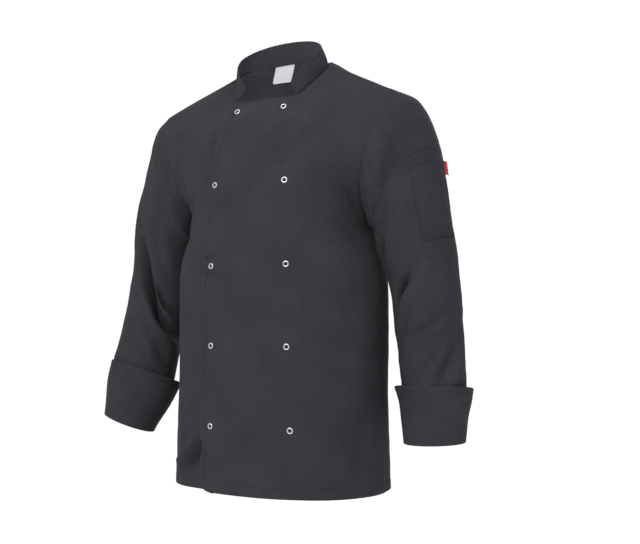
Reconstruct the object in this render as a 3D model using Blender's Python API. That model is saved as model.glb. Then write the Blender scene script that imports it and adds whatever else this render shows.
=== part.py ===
"""A double-breasted chef jacket in twill, filled out as if it were worn, and hollow inside.

Metres.  +Z is up, -Y is the front and +X is the wearer's left.  The origin is in the middle of
the neck opening, level with the points where the shoulder seams meet the neck.
All cloth is drawn from two forms, the body and the arm, so that pieces share their seam lines.
A grid of outer points runs so that columns x rows point outward, and each piece is a wall
between that grid and the same grid moved inward.
"""
from collections import namedtuple

import bmesh
import bpy
import numpy as np
from mathutils import Vector

# Driving dimensions
NECK_HEIGHT = 0.755      # hem to the neck points
CLOTH = 0.0012           # one layer of twill
COLLAR_CLOTH = 0.0020    # the stand collar is made up of two layers
SEAM_GAP = 0.0003        # clearance where two pieces are sewn together
LAY_GAP = 0.0014         # clearance between layers that lie on each other
MITRE = 0.0005           # how far the inner edge of a wall stops short of the outer one
UNDERLAP = 1.09          # how much further the right front reaches than the left one's edge
NECK_SINK = 1.0          # how much deeper the right front lies at the neck
SINK_FROM = 0.85         # share of its height from which it does
UNDERLAP_EASE = (0.36, 0.64)  # shares across where the right front rises from under the left
LABEL = (0.038, 0.034)   # width and drop of the neck label
LABEL_SIDE = -0.012      # its middle, to the wearer's right of the centre back
LABEL_TOP = 0.03         # how far below the neck seam it starts, as a share of the top row
TAB = (0.007, 0.026)     # reach and height of the pocket's side tab
TAB_DROP = 0.006         # from the pocket's top corner down to the tab
TAB_LIFT = 0.8           # how steeply the tab stands off the sleeve
SNAP_OUTER = 0.0055      # radii and height of a ring snap
SNAP_INNER = 0.0029
SNAP_HEIGHT = 0.0016
SHARP_ANGLE = 50         # degrees between facets that shows as an edge

# How finely the cloth is faceted.  Pieces that meet have the same corners along their seam:
# rows of the body match columns of the sleeve, and its columns match the collar's.
FINE_UP = 181
FINE_ACROSS = 91
FINE_ROUND = 145
NECK_COLUMNS = 6
COLLAR_START = 2         # the neck column that the collar's end stands on
SHOULDER_COLUMNS = 7
LOWER_ROWS = 10
SLEEVE_COLUMNS = 18
SLEEVE_ROWS = 24
CUFF_ROWS = 5
POCKET_ROWS = 9
SNAP_SIDES = 10

# The body from hem to shoulder, one half: where each level crosses the centre line and the side
# seam or armhole, as heights above the hem, and the direction in degrees that it ends in.
Section = namedtuple("Section", "name y_centre z_centre x_side y_side z_side turn")
FRONT = [
    Section("hem", -0.137, 0.000, 0.202, 0.000, 0.000, 90),
    Section("hip", -0.136, 0.150, 0.200, 0.000, 0.150, 90),
    Section("waist", -0.136, 0.300, 0.2005, 0.000, 0.300, 90),
    Section("ribs", -0.137, 0.390, 0.1965, -0.002, 0.390, 89),
    Section("underarm", -0.137, 0.455, 0.176, -0.004, 0.455, 88),
    Section("chest", -0.134, 0.530, 0.178, -0.062, 0.525, 62),
    Section("upper", -0.120, 0.600, 0.198, -0.076, 0.600, 40),
    Section("yoke", -0.100, 0.652, 0.218, -0.064, 0.650, 28),
]
BACK = [
    Section("hem", 0.137, 0.000, 0.202, 0.000, 0.000, -90),
    Section("hip", 0.136, 0.150, 0.200, 0.000, 0.150, -90),
    Section("waist", 0.134, 0.300, 0.2005, 0.000, 0.300, -90),
    Section("ribs", 0.134, 0.390, 0.1965, -0.002, 0.390, -89),
    Section("underarm", 0.134, 0.460, 0.176, -0.004, 0.455, -88),
    Section("blade", 0.133, 0.560, 0.182, 0.074, 0.545, -50),
    Section("upper", 0.120, 0.660, 0.206, 0.070, 0.625, -28),
    Section("ridge", 0.084, 0.745, 0.226, 0.026, 0.668, -20),
]
UNDERARM = 4             # the section that the armhole starts from
FULLNESS = 0.62          # how square each level is in plan
SIDE_PULL = 8            # power by which a side seam's place fades towards the centre
PAST_TOP = 0.6           # how much further the rows run on past the neck seam
TURN_WIDTH = 0.06        # half the share of the top edge over which neck turns into shoulder
NECK_SHARE = 0.44        # share of the top edge that is neck, the rest being shoulder seam
SHOULDER_TIP = (0.2265, -0.030, 0.690)
SHOULDER_BOW = (0, -0.006, -0.001)  # how far the seam's middle stands off a straight line

# The rounded crest just behind the neck and shoulder seams, by share of the top edge: how far
# back and how far up from the seam it lies
Crest = namedtuple("Crest", "share back up")
CREST = [Crest(0.0, 0.020, -0.017), Crest(0.30, 0.019, 0.000), Crest(0.44, 0.022, 0.0135),
         Crest(0.60, 0.024, 0.009), Crest(0.80, 0.022, 0.006), Crest(1.0, 0.018, 0.004)]

# The neck seam from the centre front round the left side to the centre back.  Its places are named
# in degrees, 98 being the neck point.  At each, the collar's height and how far its top leans in
# and forward.
Neck = namedtuple("Neck", "angle x y z collar_height collar_lean collar_forward")
NECK = [
    Neck(0, 0.0000, -0.0725, 0.6900, 0.0240, 0.0170, 0.0100),
    Neck(20, 0.0321, -0.0698, 0.6885, 0.0240, 0.0175, 0.0100),
    Neck(38, 0.0585, -0.0614, 0.6925, 0.0240, 0.0172, 0.0097),
    Neck(60, 0.0763, -0.0372, 0.7185, 0.0292, 0.0096, 0.0116),
    Neck(80, 0.0884, -0.0162, 0.7408, 0.0305, 0.0083, 0.0123),
    Neck(98, 0.0935, -0.0011, 0.7568, 0.0327, 0.0109, 0.0054),
    Neck(118, 0.0828, 0.0166, 0.7706, 0.0350, 0.0110, 0.0010),
    Neck(142, 0.0551, 0.0334, 0.7819, 0.0360, 0.0095, 0.0000),
    Neck(160, 0.0299, 0.0402, 0.7868, 0.0357, 0.0087, 0.0000),
    Neck(180, 0.0000, 0.0425, 0.7890, 0.0350, 0.0080, 0.0000),
]
NECK_MIDDLE = (0, -0.015, 0)
NECK_POINT = 98

# The arms from the sleeve head to the sleeve end: the middle of each ring, its half widths along
# and across, the direction of the first in plan, and how far its outer side and its front are
# tilted up.  The right arm is held a little further forward.
Ring = namedtuple("Ring", "name x y z along across turn tilt pitch")
UPPER_ARM = [
    Ring("head", 0.2207, 0.007, 0.5622, 0.0870, 0.1197, 90, 71.1, 0),
    Ring("cap", 0.2348, 0.010, 0.530, 0.0738, 0.1045, 92, 61, 0),
    Ring("biceps", 0.2504, 0.003, 0.471, 0.0690, 0.0745, 100, 38, 0),
]
LEFT_FOREARM = [
    Ring("elbow", 0.2673, 0.0115, 0.370, 0.0627, 0.0600, 120, 8, 0),
    Ring("forearm", 0.2785, 0.0090, 0.260, 0.0632, 0.0560, 130, 6, 0),
    Ring("wrist", 0.2865, 0.0020, 0.185, 0.0627, 0.0517, 135, 6, 0),
    Ring("end", 0.2956, -0.0257, 0.0937, 0.0525, 0.0488, 139, 3.1, 1.1),
]
RIGHT_FOREARM = [
    Ring("elbow", 0.2663, 0.0065, 0.370, 0.0620, 0.0612, 120, 9, 4),
    Ring("forearm", 0.2770, -0.0172, 0.262, 0.0576, 0.0538, 130, 11, 9),
    Ring("wrist", 0.2805, -0.0383, 0.185, 0.0601, 0.0522, 130, 12, 13),
    Ring("end", 0.2889, -0.0664, 0.1018, 0.0471, 0.0457, 130, 18.8, 10.4),
]

# The turned-back cuffs, in degrees round the arm: the slit is at the back of the wrist
CUFF_SPAN = 0.2          # share of the arm over which the cuff's height is measured
SLIT = 270
SLIT_HALF_TOP = 9.0
SLIT_HALF_END = 1.5
WING_DROP = 0.008        # how much lower a cuff's free edge is beside the slit
WING_WIDTH = 1.2         # power by which the wings fade round the arm
FLARE_CURVE = 1.3        # power by which the flare grows up the cuff

# Each cuff's height, how far its free edge stands off the sleeve all round and more beside the
# slit, and how far that edge dips, with the middle and the spread of the dip in degrees
Cuff = namedtuple("Cuff", "height flare wing_flare dip dip_at dip_width")
LEFT_CUFF = Cuff(0.0918, 0.001, 0.0200, -0.007, 163, 80)
RIGHT_CUFF = Cuff(0.1057, 0.001, 0.0158, 0.003, 7, 69)

# The sleeve pocket's side edges: degrees round the arm, and shares down it
Side = namedtuple("Side", "around top bottom")
POCKET_FRONT = Side(60, 0.155, 0.372)
POCKET_BACK = Side(-8, 0.200, 0.368)

# The left front's free edge: how far it passes the centre at each height
Lap = namedtuple("Lap", "z reach")
LAP = [Lap(0.0, 0.068), Lap(0.010, 0.083), Lap(0.026, 0.090), Lap(0.390, 0.090), Lap(0.450, 0.088),
       Lap(0.530, 0.081), Lap(0.600, 0.072), Lap(0.660, 0.062), Lap(0.700, 0.0575)]

# Rows of ring snaps: height above the hem and distance from the centre on each side
Snap = namedtuple("Snap", "z right left")
SNAPS = [Snap(0.667, 0.0465, 0.0465), Snap(0.530, 0.068, 0.068), Snap(0.388, 0.073, 0.072),
         Snap(0.250, 0.073, 0.073), Snap(0.112, 0.073, 0.079)]

# Folds: from and to, as shares of a form, with the width across the fold and its depth
FOLD_POINTS = 25
FOLD_END = 0.12          # share of a half wave that is cut off each end of a fold's depth
Fold = namedtuple("Fold", "name up_from across_from up_to across_to width depth")
BODY_FOLDS = [
    Fold("swag above the hem", 0.29, -0.20, 0.18, 0.05, 0.024, 0.003),
    Fold("drag to the lap's corner", 0.08, -0.62, 0.15, -0.38, 0.026, -0.005),
    Fold("drag below it", 0.04, -0.56, 0.10, -0.32, 0.024, 0.004),
    Fold("left hip", 0.25, 0.79, 0.02, 0.60, 0.030, 0.005),
]
# On a sleeve, up is the share down from the armhole and across is in degrees round the arm
LEFT_SLEEVE_FOLDS = [
    Fold("inner elbow", 0.46, 98, 0.56, 150, 0.022, 0.007),
    Fold("across the forearm", 0.56, 38, 0.67, 97, 0.022, 0.004),
    Fold("above the cuff", 0.68, 24, 0.83, 66, 0.024, 0.005),
]
RIGHT_SLEEVE_FOLDS = [
    Fold("long drag", 0.33, 74, 0.62, 160, 0.024, 0.009),
    Fold("inner elbow", 0.54, 140, 0.56, 190, 0.020, 0.005),
    Fold("above the cuff", 0.62, 112, 0.74, 84, 0.020, 0.004),
]

TWILL = ("charcoal twill", (0.050, 0.048, 0.056), 0.85, 0.0)
METAL = ("snap metal", (0.78, 0.78, 0.80), 0.25, 1.0)
RED = ("red tab tape", (0.55, 0.02, 0.03), 0.70, 0.0)
SATIN = ("label satin", (0.62, 0.63, 0.66), 0.45, 0.0)


# Curves and grids

def through(knots, rows, at):
    """Points of a smooth curve through rows of points, which stand at the given knots."""
    knots = np.asarray(knots, float)
    rows = np.asarray(rows, float)
    at = np.atleast_1d(np.asarray(at, float))
    slopes = np.gradient(rows, knots, axis=0)
    index = np.clip(np.searchsorted(knots, at, side="right") - 1, 0, len(knots) - 2)
    shape = (len(at),) + (1,) * (rows.ndim - 1)
    span = (knots[index + 1] - knots[index]).reshape(shape)
    u = (at - knots[index]).reshape(shape) / span
    return ((2 * u**3 - 3 * u**2 + 1) * rows[index] + (u**3 - 2 * u**2 + u) * span * slopes[index]
            + (3 * u**2 - 2 * u**3) * rows[index + 1] + (u**3 - u**2) * span * slopes[index + 1])


def lengths(line):
    """Length along a line of points, from its start to each of them."""
    return np.r_[0.0, np.cumsum(np.linalg.norm(np.diff(line, axis=0), axis=-1))]


def spread(line, shares):
    """Points at the given shares of a line's length."""
    run = lengths(line)
    return np.stack([np.interp(shares * run[-1], run, line[:, k]) for k in range(line.shape[1])], 1)


def bezier(a, b, c, d):
    t = np.linspace(0, 1, FINE_ACROSS)[:, None]
    return (1 - t)**3 * a + 3 * (1 - t)**2 * t * b + 3 * (1 - t) * t**2 * c + t**3 * d


def loft(rows, ghost=None):
    """A fine grid through rows of points; a ghost row past the end only guides the last slope."""
    rows = np.array(rows)
    guided = rows if ghost is None else np.concatenate([rows, ghost[None]])
    steps = np.linalg.norm(np.diff(guided, axis=0), axis=2).mean(1)
    knots = np.r_[0.0, np.cumsum(steps)]
    return through(knots, guided, np.linspace(0, knots[len(rows) - 1], FINE_UP))


def sample(fine, up, across):
    """Points of a fine grid at shares of its rows and columns, which may be arrays."""
    up, across = np.broadcast_arrays(np.asarray(up, float), np.asarray(across, float))
    row = np.clip(up, 0, 1) * (fine.shape[0] - 1)
    column = np.clip(across, 0, 1) * (fine.shape[1] - 1)
    r = np.minimum(row.astype(int), fine.shape[0] - 2)
    c = np.minimum(column.astype(int), fine.shape[1] - 2)
    u = (row - r)[..., None]
    v = (column - c)[..., None]
    return ((1 - u) * ((1 - v) * fine[r, c] + v * fine[r, c + 1])
            + u * ((1 - v) * fine[r + 1, c] + v * fine[r + 1, c + 1]))


def outward(grid, around=False):
    """Unit normals of a grid of points; around says that its last column meets its first."""
    if around:
        padded = np.concatenate([grid[:, -1:], grid, grid[:, :1]], 1)
        columns = np.gradient(padded, axis=1)[:, 1:-1]
    else:
        columns = np.gradient(grid, axis=1)
    normal = np.cross(columns, np.gradient(grid, axis=0))
    return normal / np.linalg.norm(normal, axis=2, keepdims=True)


def smooth_step(value):
    value = np.clip(value, 0, 1)
    return value * value * (3 - 2 * value)


# The body form

def level(section, shares):
    """One level of half the body, from the centre line to the side."""
    turn = np.radians(section.turn)
    side = np.array([section.x_side, section.y_side])
    reach = FULLNESS * section.x_side
    depth = FULLNESS * abs(section.y_side - section.y_centre)
    plan = bezier(np.array([0.0, section.y_centre]), np.array([reach, section.y_centre]),
                  side - np.array([reach * np.cos(turn), depth * np.sin(turn)]), side)
    z = section.z_centre + (section.z_side - section.z_centre) * shares**2
    return np.column_stack([spread(plan, shares), z])


def neck_values(angle, column):
    """A column of the neck table at angles in degrees, the same on both sides."""
    table = NECK[::-1] + NECK[1:]
    angles = [-row.angle for row in NECK[::-1]] + [row.angle for row in NECK[1:]]
    return through(angles, [getattr(row, column) for row in table], angle)


def neck_seam(angle):
    """Points of the neck seam at places of its table, on the wearer's left side."""
    right = [(-row.x, row.y, row.z) for row in NECK[1:]]
    left = [(row.x, row.y, row.z) for row in NECK]
    places = [-NECK[1].angle] + [row.angle for row in NECK] + [360 - NECK[-2].angle]
    return through(places, right[:1] + left + right[-2:-1], angle)


def top_edge(shares, back):
    """The neck seam from the centre to the neck point, then the shoulder seam to its tip."""
    neck = spread(neck_seam(np.linspace(180 if back else 0, NECK_POINT, FINE_ACROSS)),
                  np.clip(shares / NECK_SHARE, 0, 1))
    u = np.clip((shares - NECK_SHARE) / (1 - NECK_SHARE), 0, 1)[:, None]
    start = neck_seam(NECK_POINT)[0]
    bow = np.array(SHOULDER_BOW) * 4 * u * (1 - u)
    return np.where(shares[:, None] < NECK_SHARE, neck, start + (SHOULDER_TIP - start) * u + bow)


def body_form(back):
    """Half of the front or of the back, hem to top edge and centre to side."""
    shares = np.linspace(0, 1, FINE_ACROSS)
    fronts = [level(section, shares) for section in FRONT] + [top_edge(shares, False)]
    backs = [level(section, shares) for section in BACK] + [top_edge(shares, True)]
    crest = through([row.share for row in CREST], [(0, row.back, row.up) for row in CREST], shares)
    backs.insert(-1, backs[-1] + crest)
    own, other = (backs, fronts) if back else (fronts, backs)
    past_seam = smooth_step((shares - NECK_SHARE) / (2 * TURN_WIDTH) + 0.5)[:, None]
    past_neck = own[-1] + (own[-1] - own[-2]) * PAST_TOP
    form = loft(own, past_seam * other[-2] + (1 - past_seam) * past_neck)
    sides = np.array([(row.x_side, row.y_side, row.z_side) for row in FRONT[:UNDERARM + 1]])
    low = form[:, -1, 2] < sides[-1, 2]
    seam = through(sides[:, 2], sides, form[low, -1, 2])
    form[low] += (seam - form[low, -1])[:, None] * (shares**SIDE_PULL)[None, :, None]
    return form


FRONT_FORM = body_form(False)
BACK_FORM = body_form(True)


def on_body(form, up, across):
    """Points of the body form; across runs from -1 at the right side to 1 at the left."""
    points = sample(form, up, np.abs(across))
    return points * np.stack([np.sign(across) + (across == 0), np.ones_like(across),
                              np.ones_like(across)], -1)


def share_of_reach(up, reach):
    """How far across the front form its points stand at a distance from the centre."""
    shares = np.linspace(0, 1, FINE_ACROSS)
    return np.array([np.interp(r, sample(FRONT_FORM, u, shares)[:, 0], shares)
                     for u, r in zip(up, reach)])


def lap_reach(up):
    z = sample(FRONT_FORM, up, 0.2)[:, 2]
    return np.interp(z, [row.z for row in LAP], [row.reach for row in LAP])


def armhole_edge(form):
    """How far up a form its armhole starts, and the edge from there to the shoulder tip."""
    start = np.argmin(np.abs(form[:, -1, 2] - FRONT[UNDERARM].z_side))
    return start, form[start:, -1]


def body_rows(form):
    """Rows up a form, which meet the other form's rows at the side and the sleeve's columns."""
    ups = np.linspace(0, 1, FINE_UP)
    start, edge = armhole_edge(form)
    heights = np.r_[LAP[0].z, LAP[1].z, np.linspace(LAP[2].z, FRONT[UNDERARM].z_side, LOWER_ROWS)]
    lower = np.interp(heights, form[:start + 1, -1, 2], ups[:start + 1])
    run = lengths(edge)
    marks = np.linspace(0, run[-1] - SEAM_GAP, SLEEVE_COLUMNS // 2 + 1)[1:]
    return np.r_[lower, np.interp(marks, run, ups[start:])]


# The arm form

def armhole(around):
    """The left armhole by degrees: 0 at the shoulder tip, 90 in front, 180 underarm, 270 behind."""
    shares = np.linspace(0, 1, FINE_UP)
    front, back = [spread(armhole_edge(form)[1], shares) for form in (FRONT_FORM, BACK_FORM)]
    loop = np.concatenate([front[::-1], back[1:]])
    degrees = np.linspace(0, 360, len(loop))
    return np.stack([np.interp(around, degrees, loop[:, k]) for k in range(3)], -1)


def arm_ring(ring, around):
    angle = np.radians(around)
    turn = np.radians(ring.turn)
    tilt = np.radians(ring.tilt)
    right, back = np.cos(angle), -np.sin(angle)
    along = (right * np.cos(turn) + back * np.sin(turn)) / ring.along
    across = (back * np.cos(turn) - right * np.sin(turn)) / ring.across
    radius = 1 / np.hypot(along, across)
    pitch = np.radians(ring.pitch)
    return np.stack([ring.x + radius * right * np.cos(tilt), ring.y + radius * back * np.cos(pitch),
                     ring.z + radius * (right * np.sin(tilt) - back * np.sin(pitch))], -1)


def arm_form(rings):
    around = np.linspace(0, 360, FINE_ROUND)
    start = armhole(around) + np.array([SEAM_GAP, 0, 0])
    return loft([start] + [arm_ring(ring, around) for ring in rings])


LEFT_ARM = arm_form(UPPER_ARM + LEFT_FOREARM)
RIGHT_ARM = arm_form(UPPER_ARM + RIGHT_FOREARM)


def on_arm(form, down, around):
    """Points of an arm form, which is drawn as a left arm, at degrees round it."""
    return sample(form, down, np.mod(around, 360) / 360)


def fold_depth(points, folds, locate):
    """How far each point of a grid is pushed in by folds, whose ends a form's locate places."""
    depth = np.zeros(points.shape[:2])
    for fold in folds:
        t = np.linspace(0, 1, FOLD_POINTS)
        line = locate(fold.up_from + (fold.up_to - fold.up_from) * t,
                      fold.across_from + (fold.across_to - fold.across_from) * t)
        apart = np.linalg.norm(points[:, :, None] - line[None, None], axis=3)
        nearest = apart.argmin(2)
        fade = np.sin(np.pi * (FOLD_END + (1 - 2 * FOLD_END) * t[nearest]))
        depth += fold.depth * fade * np.exp(-(apart.min(2) / fold.width)**2)
    return depth


# Solids

def material(values):
    name, colour, roughness, metallic = values
    found = bpy.data.materials.get(name)
    if found:
        return found
    made = bpy.data.materials.new(name)
    made.use_nodes = True
    shader = made.node_tree.nodes["Principled BSDF"]
    shader.inputs["Base Color"].default_value = (*colour, 1)
    shader.inputs["Roughness"].default_value = roughness
    shader.inputs["Metallic"].default_value = metallic
    return made


def add_object(name, mesh_data, finish):
    mesh_data.normal_update()
    bmesh.ops.recalc_face_normals(mesh_data, faces=mesh_data.faces)
    mesh = bpy.data.meshes.new(name)
    mesh_data.to_mesh(mesh)
    mesh_data.free()
    mesh.materials.append(material(finish))
    mesh.shade_smooth()
    mesh.set_sharp_from_angle(angle=np.radians(SHARP_ANGLE))
    made = bpy.data.objects.new(name, mesh)
    bpy.context.scene.collection.objects.link(made)
    return made


def wall(name, outer, inner, finish, around=False):
    """A closed body between two grids of points, with rims along their open edges."""
    inner = inner.copy()
    edges = [(0, 1), (-1, -2)]
    for edge, beside in edges:
        step = inner[beside] - inner[edge]
        inner[edge] += MITRE * step / np.linalg.norm(step, axis=1, keepdims=True)
    if not around:
        for edge, beside in edges:
            step = inner[:, beside] - inner[:, edge]
            inner[:, edge] += MITRE * step / np.linalg.norm(step, axis=1, keepdims=True)
    body = bmesh.new()
    lift = np.array([0, 0, NECK_HEIGHT])
    faces = [[[body.verts.new(p) for p in row] for row in grid - lift] for grid in (outer, inner)]
    rows, columns = outer.shape[:2]
    for skin in faces:
        for r in range(rows - 1):
            for c in range(columns if around else columns - 1):
                d = (c + 1) % columns
                body.faces.new((skin[r][c], skin[r][d], skin[r + 1][d], skin[r + 1][c]))
    out, back = faces
    for r in (0, rows - 1):
        for c in range(columns if around else columns - 1):
            d = (c + 1) % columns
            body.faces.new((out[r][c], out[r][d], back[r][d], back[r][c]))
    if not around:
        for c in (0, columns - 1):
            for r in range(rows - 1):
                body.faces.new((out[r][c], out[r + 1][c], back[r + 1][c], back[r][c]))
    bmesh.ops.triangulate(body, faces=body.faces, quad_method="SHORT_EDGE")
    return add_object(name, body, finish)


def mirrored(grid):
    return grid[:, ::-1] * np.array([-1, 1, 1])


# Fronts and back

HALF_COLUMNS = np.r_[np.linspace(0, NECK_SHARE, NECK_COLUMNS),
                     np.linspace(NECK_SHARE, 1 - SEAM_GAP, SHOULDER_COLUMNS)[1:]]


def front_grid(left):
    """The left front reaches over the right one, which lies a wall and a gap deeper there."""
    up = body_rows(FRONT_FORM)
    reach = lap_reach(up) * (1 if left else UNDERLAP)
    edge = -share_of_reach(up, reach)[:, None]
    first = -HALF_COLUMNS[1]
    rest = np.repeat(np.r_[first, HALF_COLUMNS][None], len(up), 0)
    across = np.concatenate([edge, (edge + first) / 2, rest], 1)
    if not left:
        across = -across[:, ::-1]
    up = np.repeat(up[:, None], across.shape[1], 1)
    grid = on_body(FRONT_FORM, up, across)
    depth = fold_depth(grid, BODY_FOLDS, lambda u, a: on_body(FRONT_FORM, u, a))
    if not left:
        start, end = UNDERLAP_EASE
        under = smooth_step((end + across) / (end - start))
        sink = 1 + NECK_SINK * smooth_step((up - SINK_FROM) / (1 - SINK_FROM))
        depth += (CLOTH + LAY_GAP) * under * sink
    return grid - outward(grid) * depth[..., None]


def back_grid():
    across = np.r_[HALF_COLUMNS[::-1], -HALF_COLUMNS[1:]]
    return on_body(BACK_FORM, body_rows(BACK_FORM)[:, None], across[None])


def add_panel(name, grid):
    return wall(name, grid, grid - CLOTH * outward(grid), TWILL)


def add_label(back):
    """The label hangs from the collar seam, inside the centre back."""
    width, drop = LABEL
    middle = len(HALF_COLUMNS) - 1
    cell = back[-2:, middle - 1:middle + 2]
    column = np.linalg.norm(cell[1, 1] - cell[1, 0])
    down = drop / np.linalg.norm(cell[1, 1] - cell[0, 1])
    sides = (-LABEL_SIDE + np.array([-0.5, 0.5]) * width) / column
    columns = 0.5 + 0.5 * np.r_[sides[0], 0, sides[1]]
    patch = sample(cell, np.linspace(1 - down, 1 - LABEL_TOP, 3)[:, None], columns[None])
    near = patch - (CLOTH + SEAM_GAP) * outward(patch)
    return wall("neck_label", near, near - CLOTH * outward(patch), SATIN)


# Sleeves, cuffs and the sleeve pocket

def sleeve_grid(form, folds):
    down = np.linspace(0, 1, SLEEVE_ROWS)
    around = np.arange(SLEEVE_COLUMNS) * 360 / SLEEVE_COLUMNS
    grid = on_arm(form, down[:, None], around[None])
    depth = fold_depth(grid, folds, lambda u, a: on_arm(form, u, a))
    return grid - outward(grid, around=True) * depth[..., None]


def add_sleeve(name, grid, left):
    inner = grid - CLOTH * outward(grid, around=True)
    if not left:
        grid, inner = mirrored(grid), mirrored(inner)
    return wall(name, grid, inner, TWILL, around=True)


def add_cuff(name, form, cuff, left):
    """A band turned back over the sleeve end, slit behind the wrist, with its free edge flared."""
    rows = CUFF_ROWS
    climb = np.linspace(1, 0, rows)[:, None]
    step = 360 / SLEEVE_COLUMNS
    ends = SLIT_HALF_END + (SLIT_HALF_TOP - SLIT_HALF_END) * climb
    middle = np.arange(SLIT + step / 2, SLIT + 360, step)[None]
    around = np.concatenate([SLIT + ends, np.repeat(middle, rows, 0), SLIT + 360 - ends], 1)
    around = np.sort(around, axis=1)
    span = np.linalg.norm(on_arm(form, 1, around) - on_arm(form, 1 - CUFF_SPAN, around), axis=2)
    wing = ((1 + np.cos(np.radians(around - SLIT))) / 2)**WING_WIDTH
    off = (around - cuff.dip_at + 180) % 360 - 180
    tall = cuff.height - WING_DROP * wing - cuff.dip * np.exp(-(off / cuff.dip_width)**2)
    grid = on_arm(form, 1 - climb * tall / span * CUFF_SPAN, around)
    stand_off = SEAM_GAP + climb**FLARE_CURVE * (cuff.flare + cuff.wing_flare * wing)
    near = grid + outward(grid) * stand_off[..., None]
    far = near + outward(near) * CLOTH
    if not left:
        near, far = mirrored(near), mirrored(far)
    return wall(name, far, near, TWILL)


def add_pocket(sleeve):
    """The patch pocket lies on the outside of the left sleeve, with a tab in its back seam."""
    closed = np.concatenate([sleeve, sleeve[:, :1]], 1)
    step = 360 / SLEEVE_COLUMNS
    around = np.r_[POCKET_BACK.around, np.arange(0, POCKET_FRONT.around + step, step)]
    share = (around - POCKET_BACK.around) / (POCKET_FRONT.around - POCKET_BACK.around)
    top = POCKET_BACK.top + (POCKET_FRONT.top - POCKET_BACK.top) * share
    bottom = POCKET_BACK.bottom + (POCKET_FRONT.bottom - POCKET_BACK.bottom) * share
    down = top + (bottom - top) * np.linspace(0, 1, POCKET_ROWS)[:, None]
    patch = sample(closed, down, np.mod(around, 360) / 360)
    normal = outward(patch)
    patch = patch + LAY_GAP * normal
    wall("sleeve_pocket", patch + CLOTH * normal, patch, TWILL)
    reach, height = TAB
    sideways = patch[0, 0] - patch[0, 1]
    sideways /= np.linalg.norm(sideways)
    edge = patch[0, 0] + SEAM_GAP * sideways
    fall = patch[1, 0] - patch[0, 0]
    fall /= np.linalg.norm(fall)
    away = sideways + TAB_LIFT * normal[0, 0]
    away /= np.linalg.norm(away)
    tab = np.array([[edge + away * a + fall * d for a in (reach, 0)]
                    for d in (TAB_DROP, TAB_DROP + height)])
    wall("pocket_tab", tab + CLOTH * normal[0, 0], tab, RED)


# Collar and snaps

def add_collar(front, back):
    """A stand collar on the panels' neck edges, whose ends stop short of the centre front."""
    centre = front.shape[1] - len(HALF_COLUMNS)
    middle = back.shape[1] // 2
    seam = np.concatenate([front[-1, centre + COLLAR_START:centre + NECK_COLUMNS],
                           back[-1, middle - NECK_COLUMNS + 2:middle + 1]])
    angle = np.r_[np.linspace(0, NECK_POINT, NECK_COLUMNS)[COLLAR_START:],
                  np.linspace(NECK_POINT, 180, NECK_COLUMNS)[1:]]
    height = neck_values(angle, "collar_height")[:, None]
    lean = neck_values(angle, "collar_lean")[:, None]
    inward = (np.array(NECK_MIDDLE) - seam) * np.array([1, 1, 0])
    inward /= np.linalg.norm(inward, axis=1, keepdims=True)
    forward = neck_values(angle, "collar_forward")[:, None]
    top = np.array([0, 0, 1]) * height + inward * lean - np.array([0, 1, 0]) * forward
    half = np.array([seam + np.array([0, 0, SEAM_GAP]), seam + top * 0.5, seam + top])
    grid = np.concatenate([half, mirrored(half)[:, 1:]], 1)
    return wall("collar", grid, grid - COLLAR_CLOTH * outward(grid), TWILL)


def snap_body():
    """A turned ring with a rounded upper side."""
    body = bmesh.new()
    middle = (SNAP_INNER + SNAP_OUTER) / 2
    profile = [(SNAP_INNER, 0), (SNAP_OUTER, 0), (SNAP_OUTER, SNAP_HEIGHT * 0.5),
               (middle, SNAP_HEIGHT)]
    rings = []
    for k in range(SNAP_SIDES):
        angle = 2 * np.pi * k / SNAP_SIDES
        rings.append([body.verts.new((r * np.cos(angle), r * np.sin(angle), z)) for r, z in profile])
    for k in range(SNAP_SIDES):
        this, after = rings[k], rings[(k + 1) % SNAP_SIDES]
        for j in range(len(profile)):
            i = (j + 1) % len(profile)
            body.faces.new((this[j], after[j], after[i], this[i]))
    return body


def add_snaps(front):
    """Each ring snap sits on the facet of the left front that is behind it."""
    for row, snap in enumerate(SNAPS, start=1):
        for side, x in (("left", snap.left), ("right", -snap.right)):
            before = Vector((x, -1, snap.z - NECK_HEIGHT))
            _, place, normal, _ = front.ray_cast(before, Vector((0, 1, 0)))
            made = add_object(f"snap_{row}_{side}", snap_body(), METAL)
            made.rotation_euler = normal.to_track_quat("Z", "Y").to_euler()
            made.location = place + normal * SEAM_GAP


for old in list(bpy.data.objects):
    bpy.data.objects.remove(old)
left_grid = front_grid(left=True)
behind_grid = back_grid()
add_panel("back", behind_grid)
left_front = add_panel("front_left", left_grid)
add_panel("front_right", front_grid(left=False))
left_sleeve = sleeve_grid(LEFT_ARM, LEFT_SLEEVE_FOLDS)
add_sleeve("sleeve_left", left_sleeve, left=True)
add_sleeve("sleeve_right", sleeve_grid(RIGHT_ARM, RIGHT_SLEEVE_FOLDS), left=False)
add_cuff("cuff_left", LEFT_ARM, LEFT_CUFF, left=True)
add_cuff("cuff_right", RIGHT_ARM, RIGHT_CUFF, left=False)
add_pocket(left_sleeve)
add_collar(left_grid, behind_grid)
add_label(behind_grid)
bpy.context.view_layer.update()
add_snaps(left_front)
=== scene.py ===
from collections import namedtuple

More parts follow.
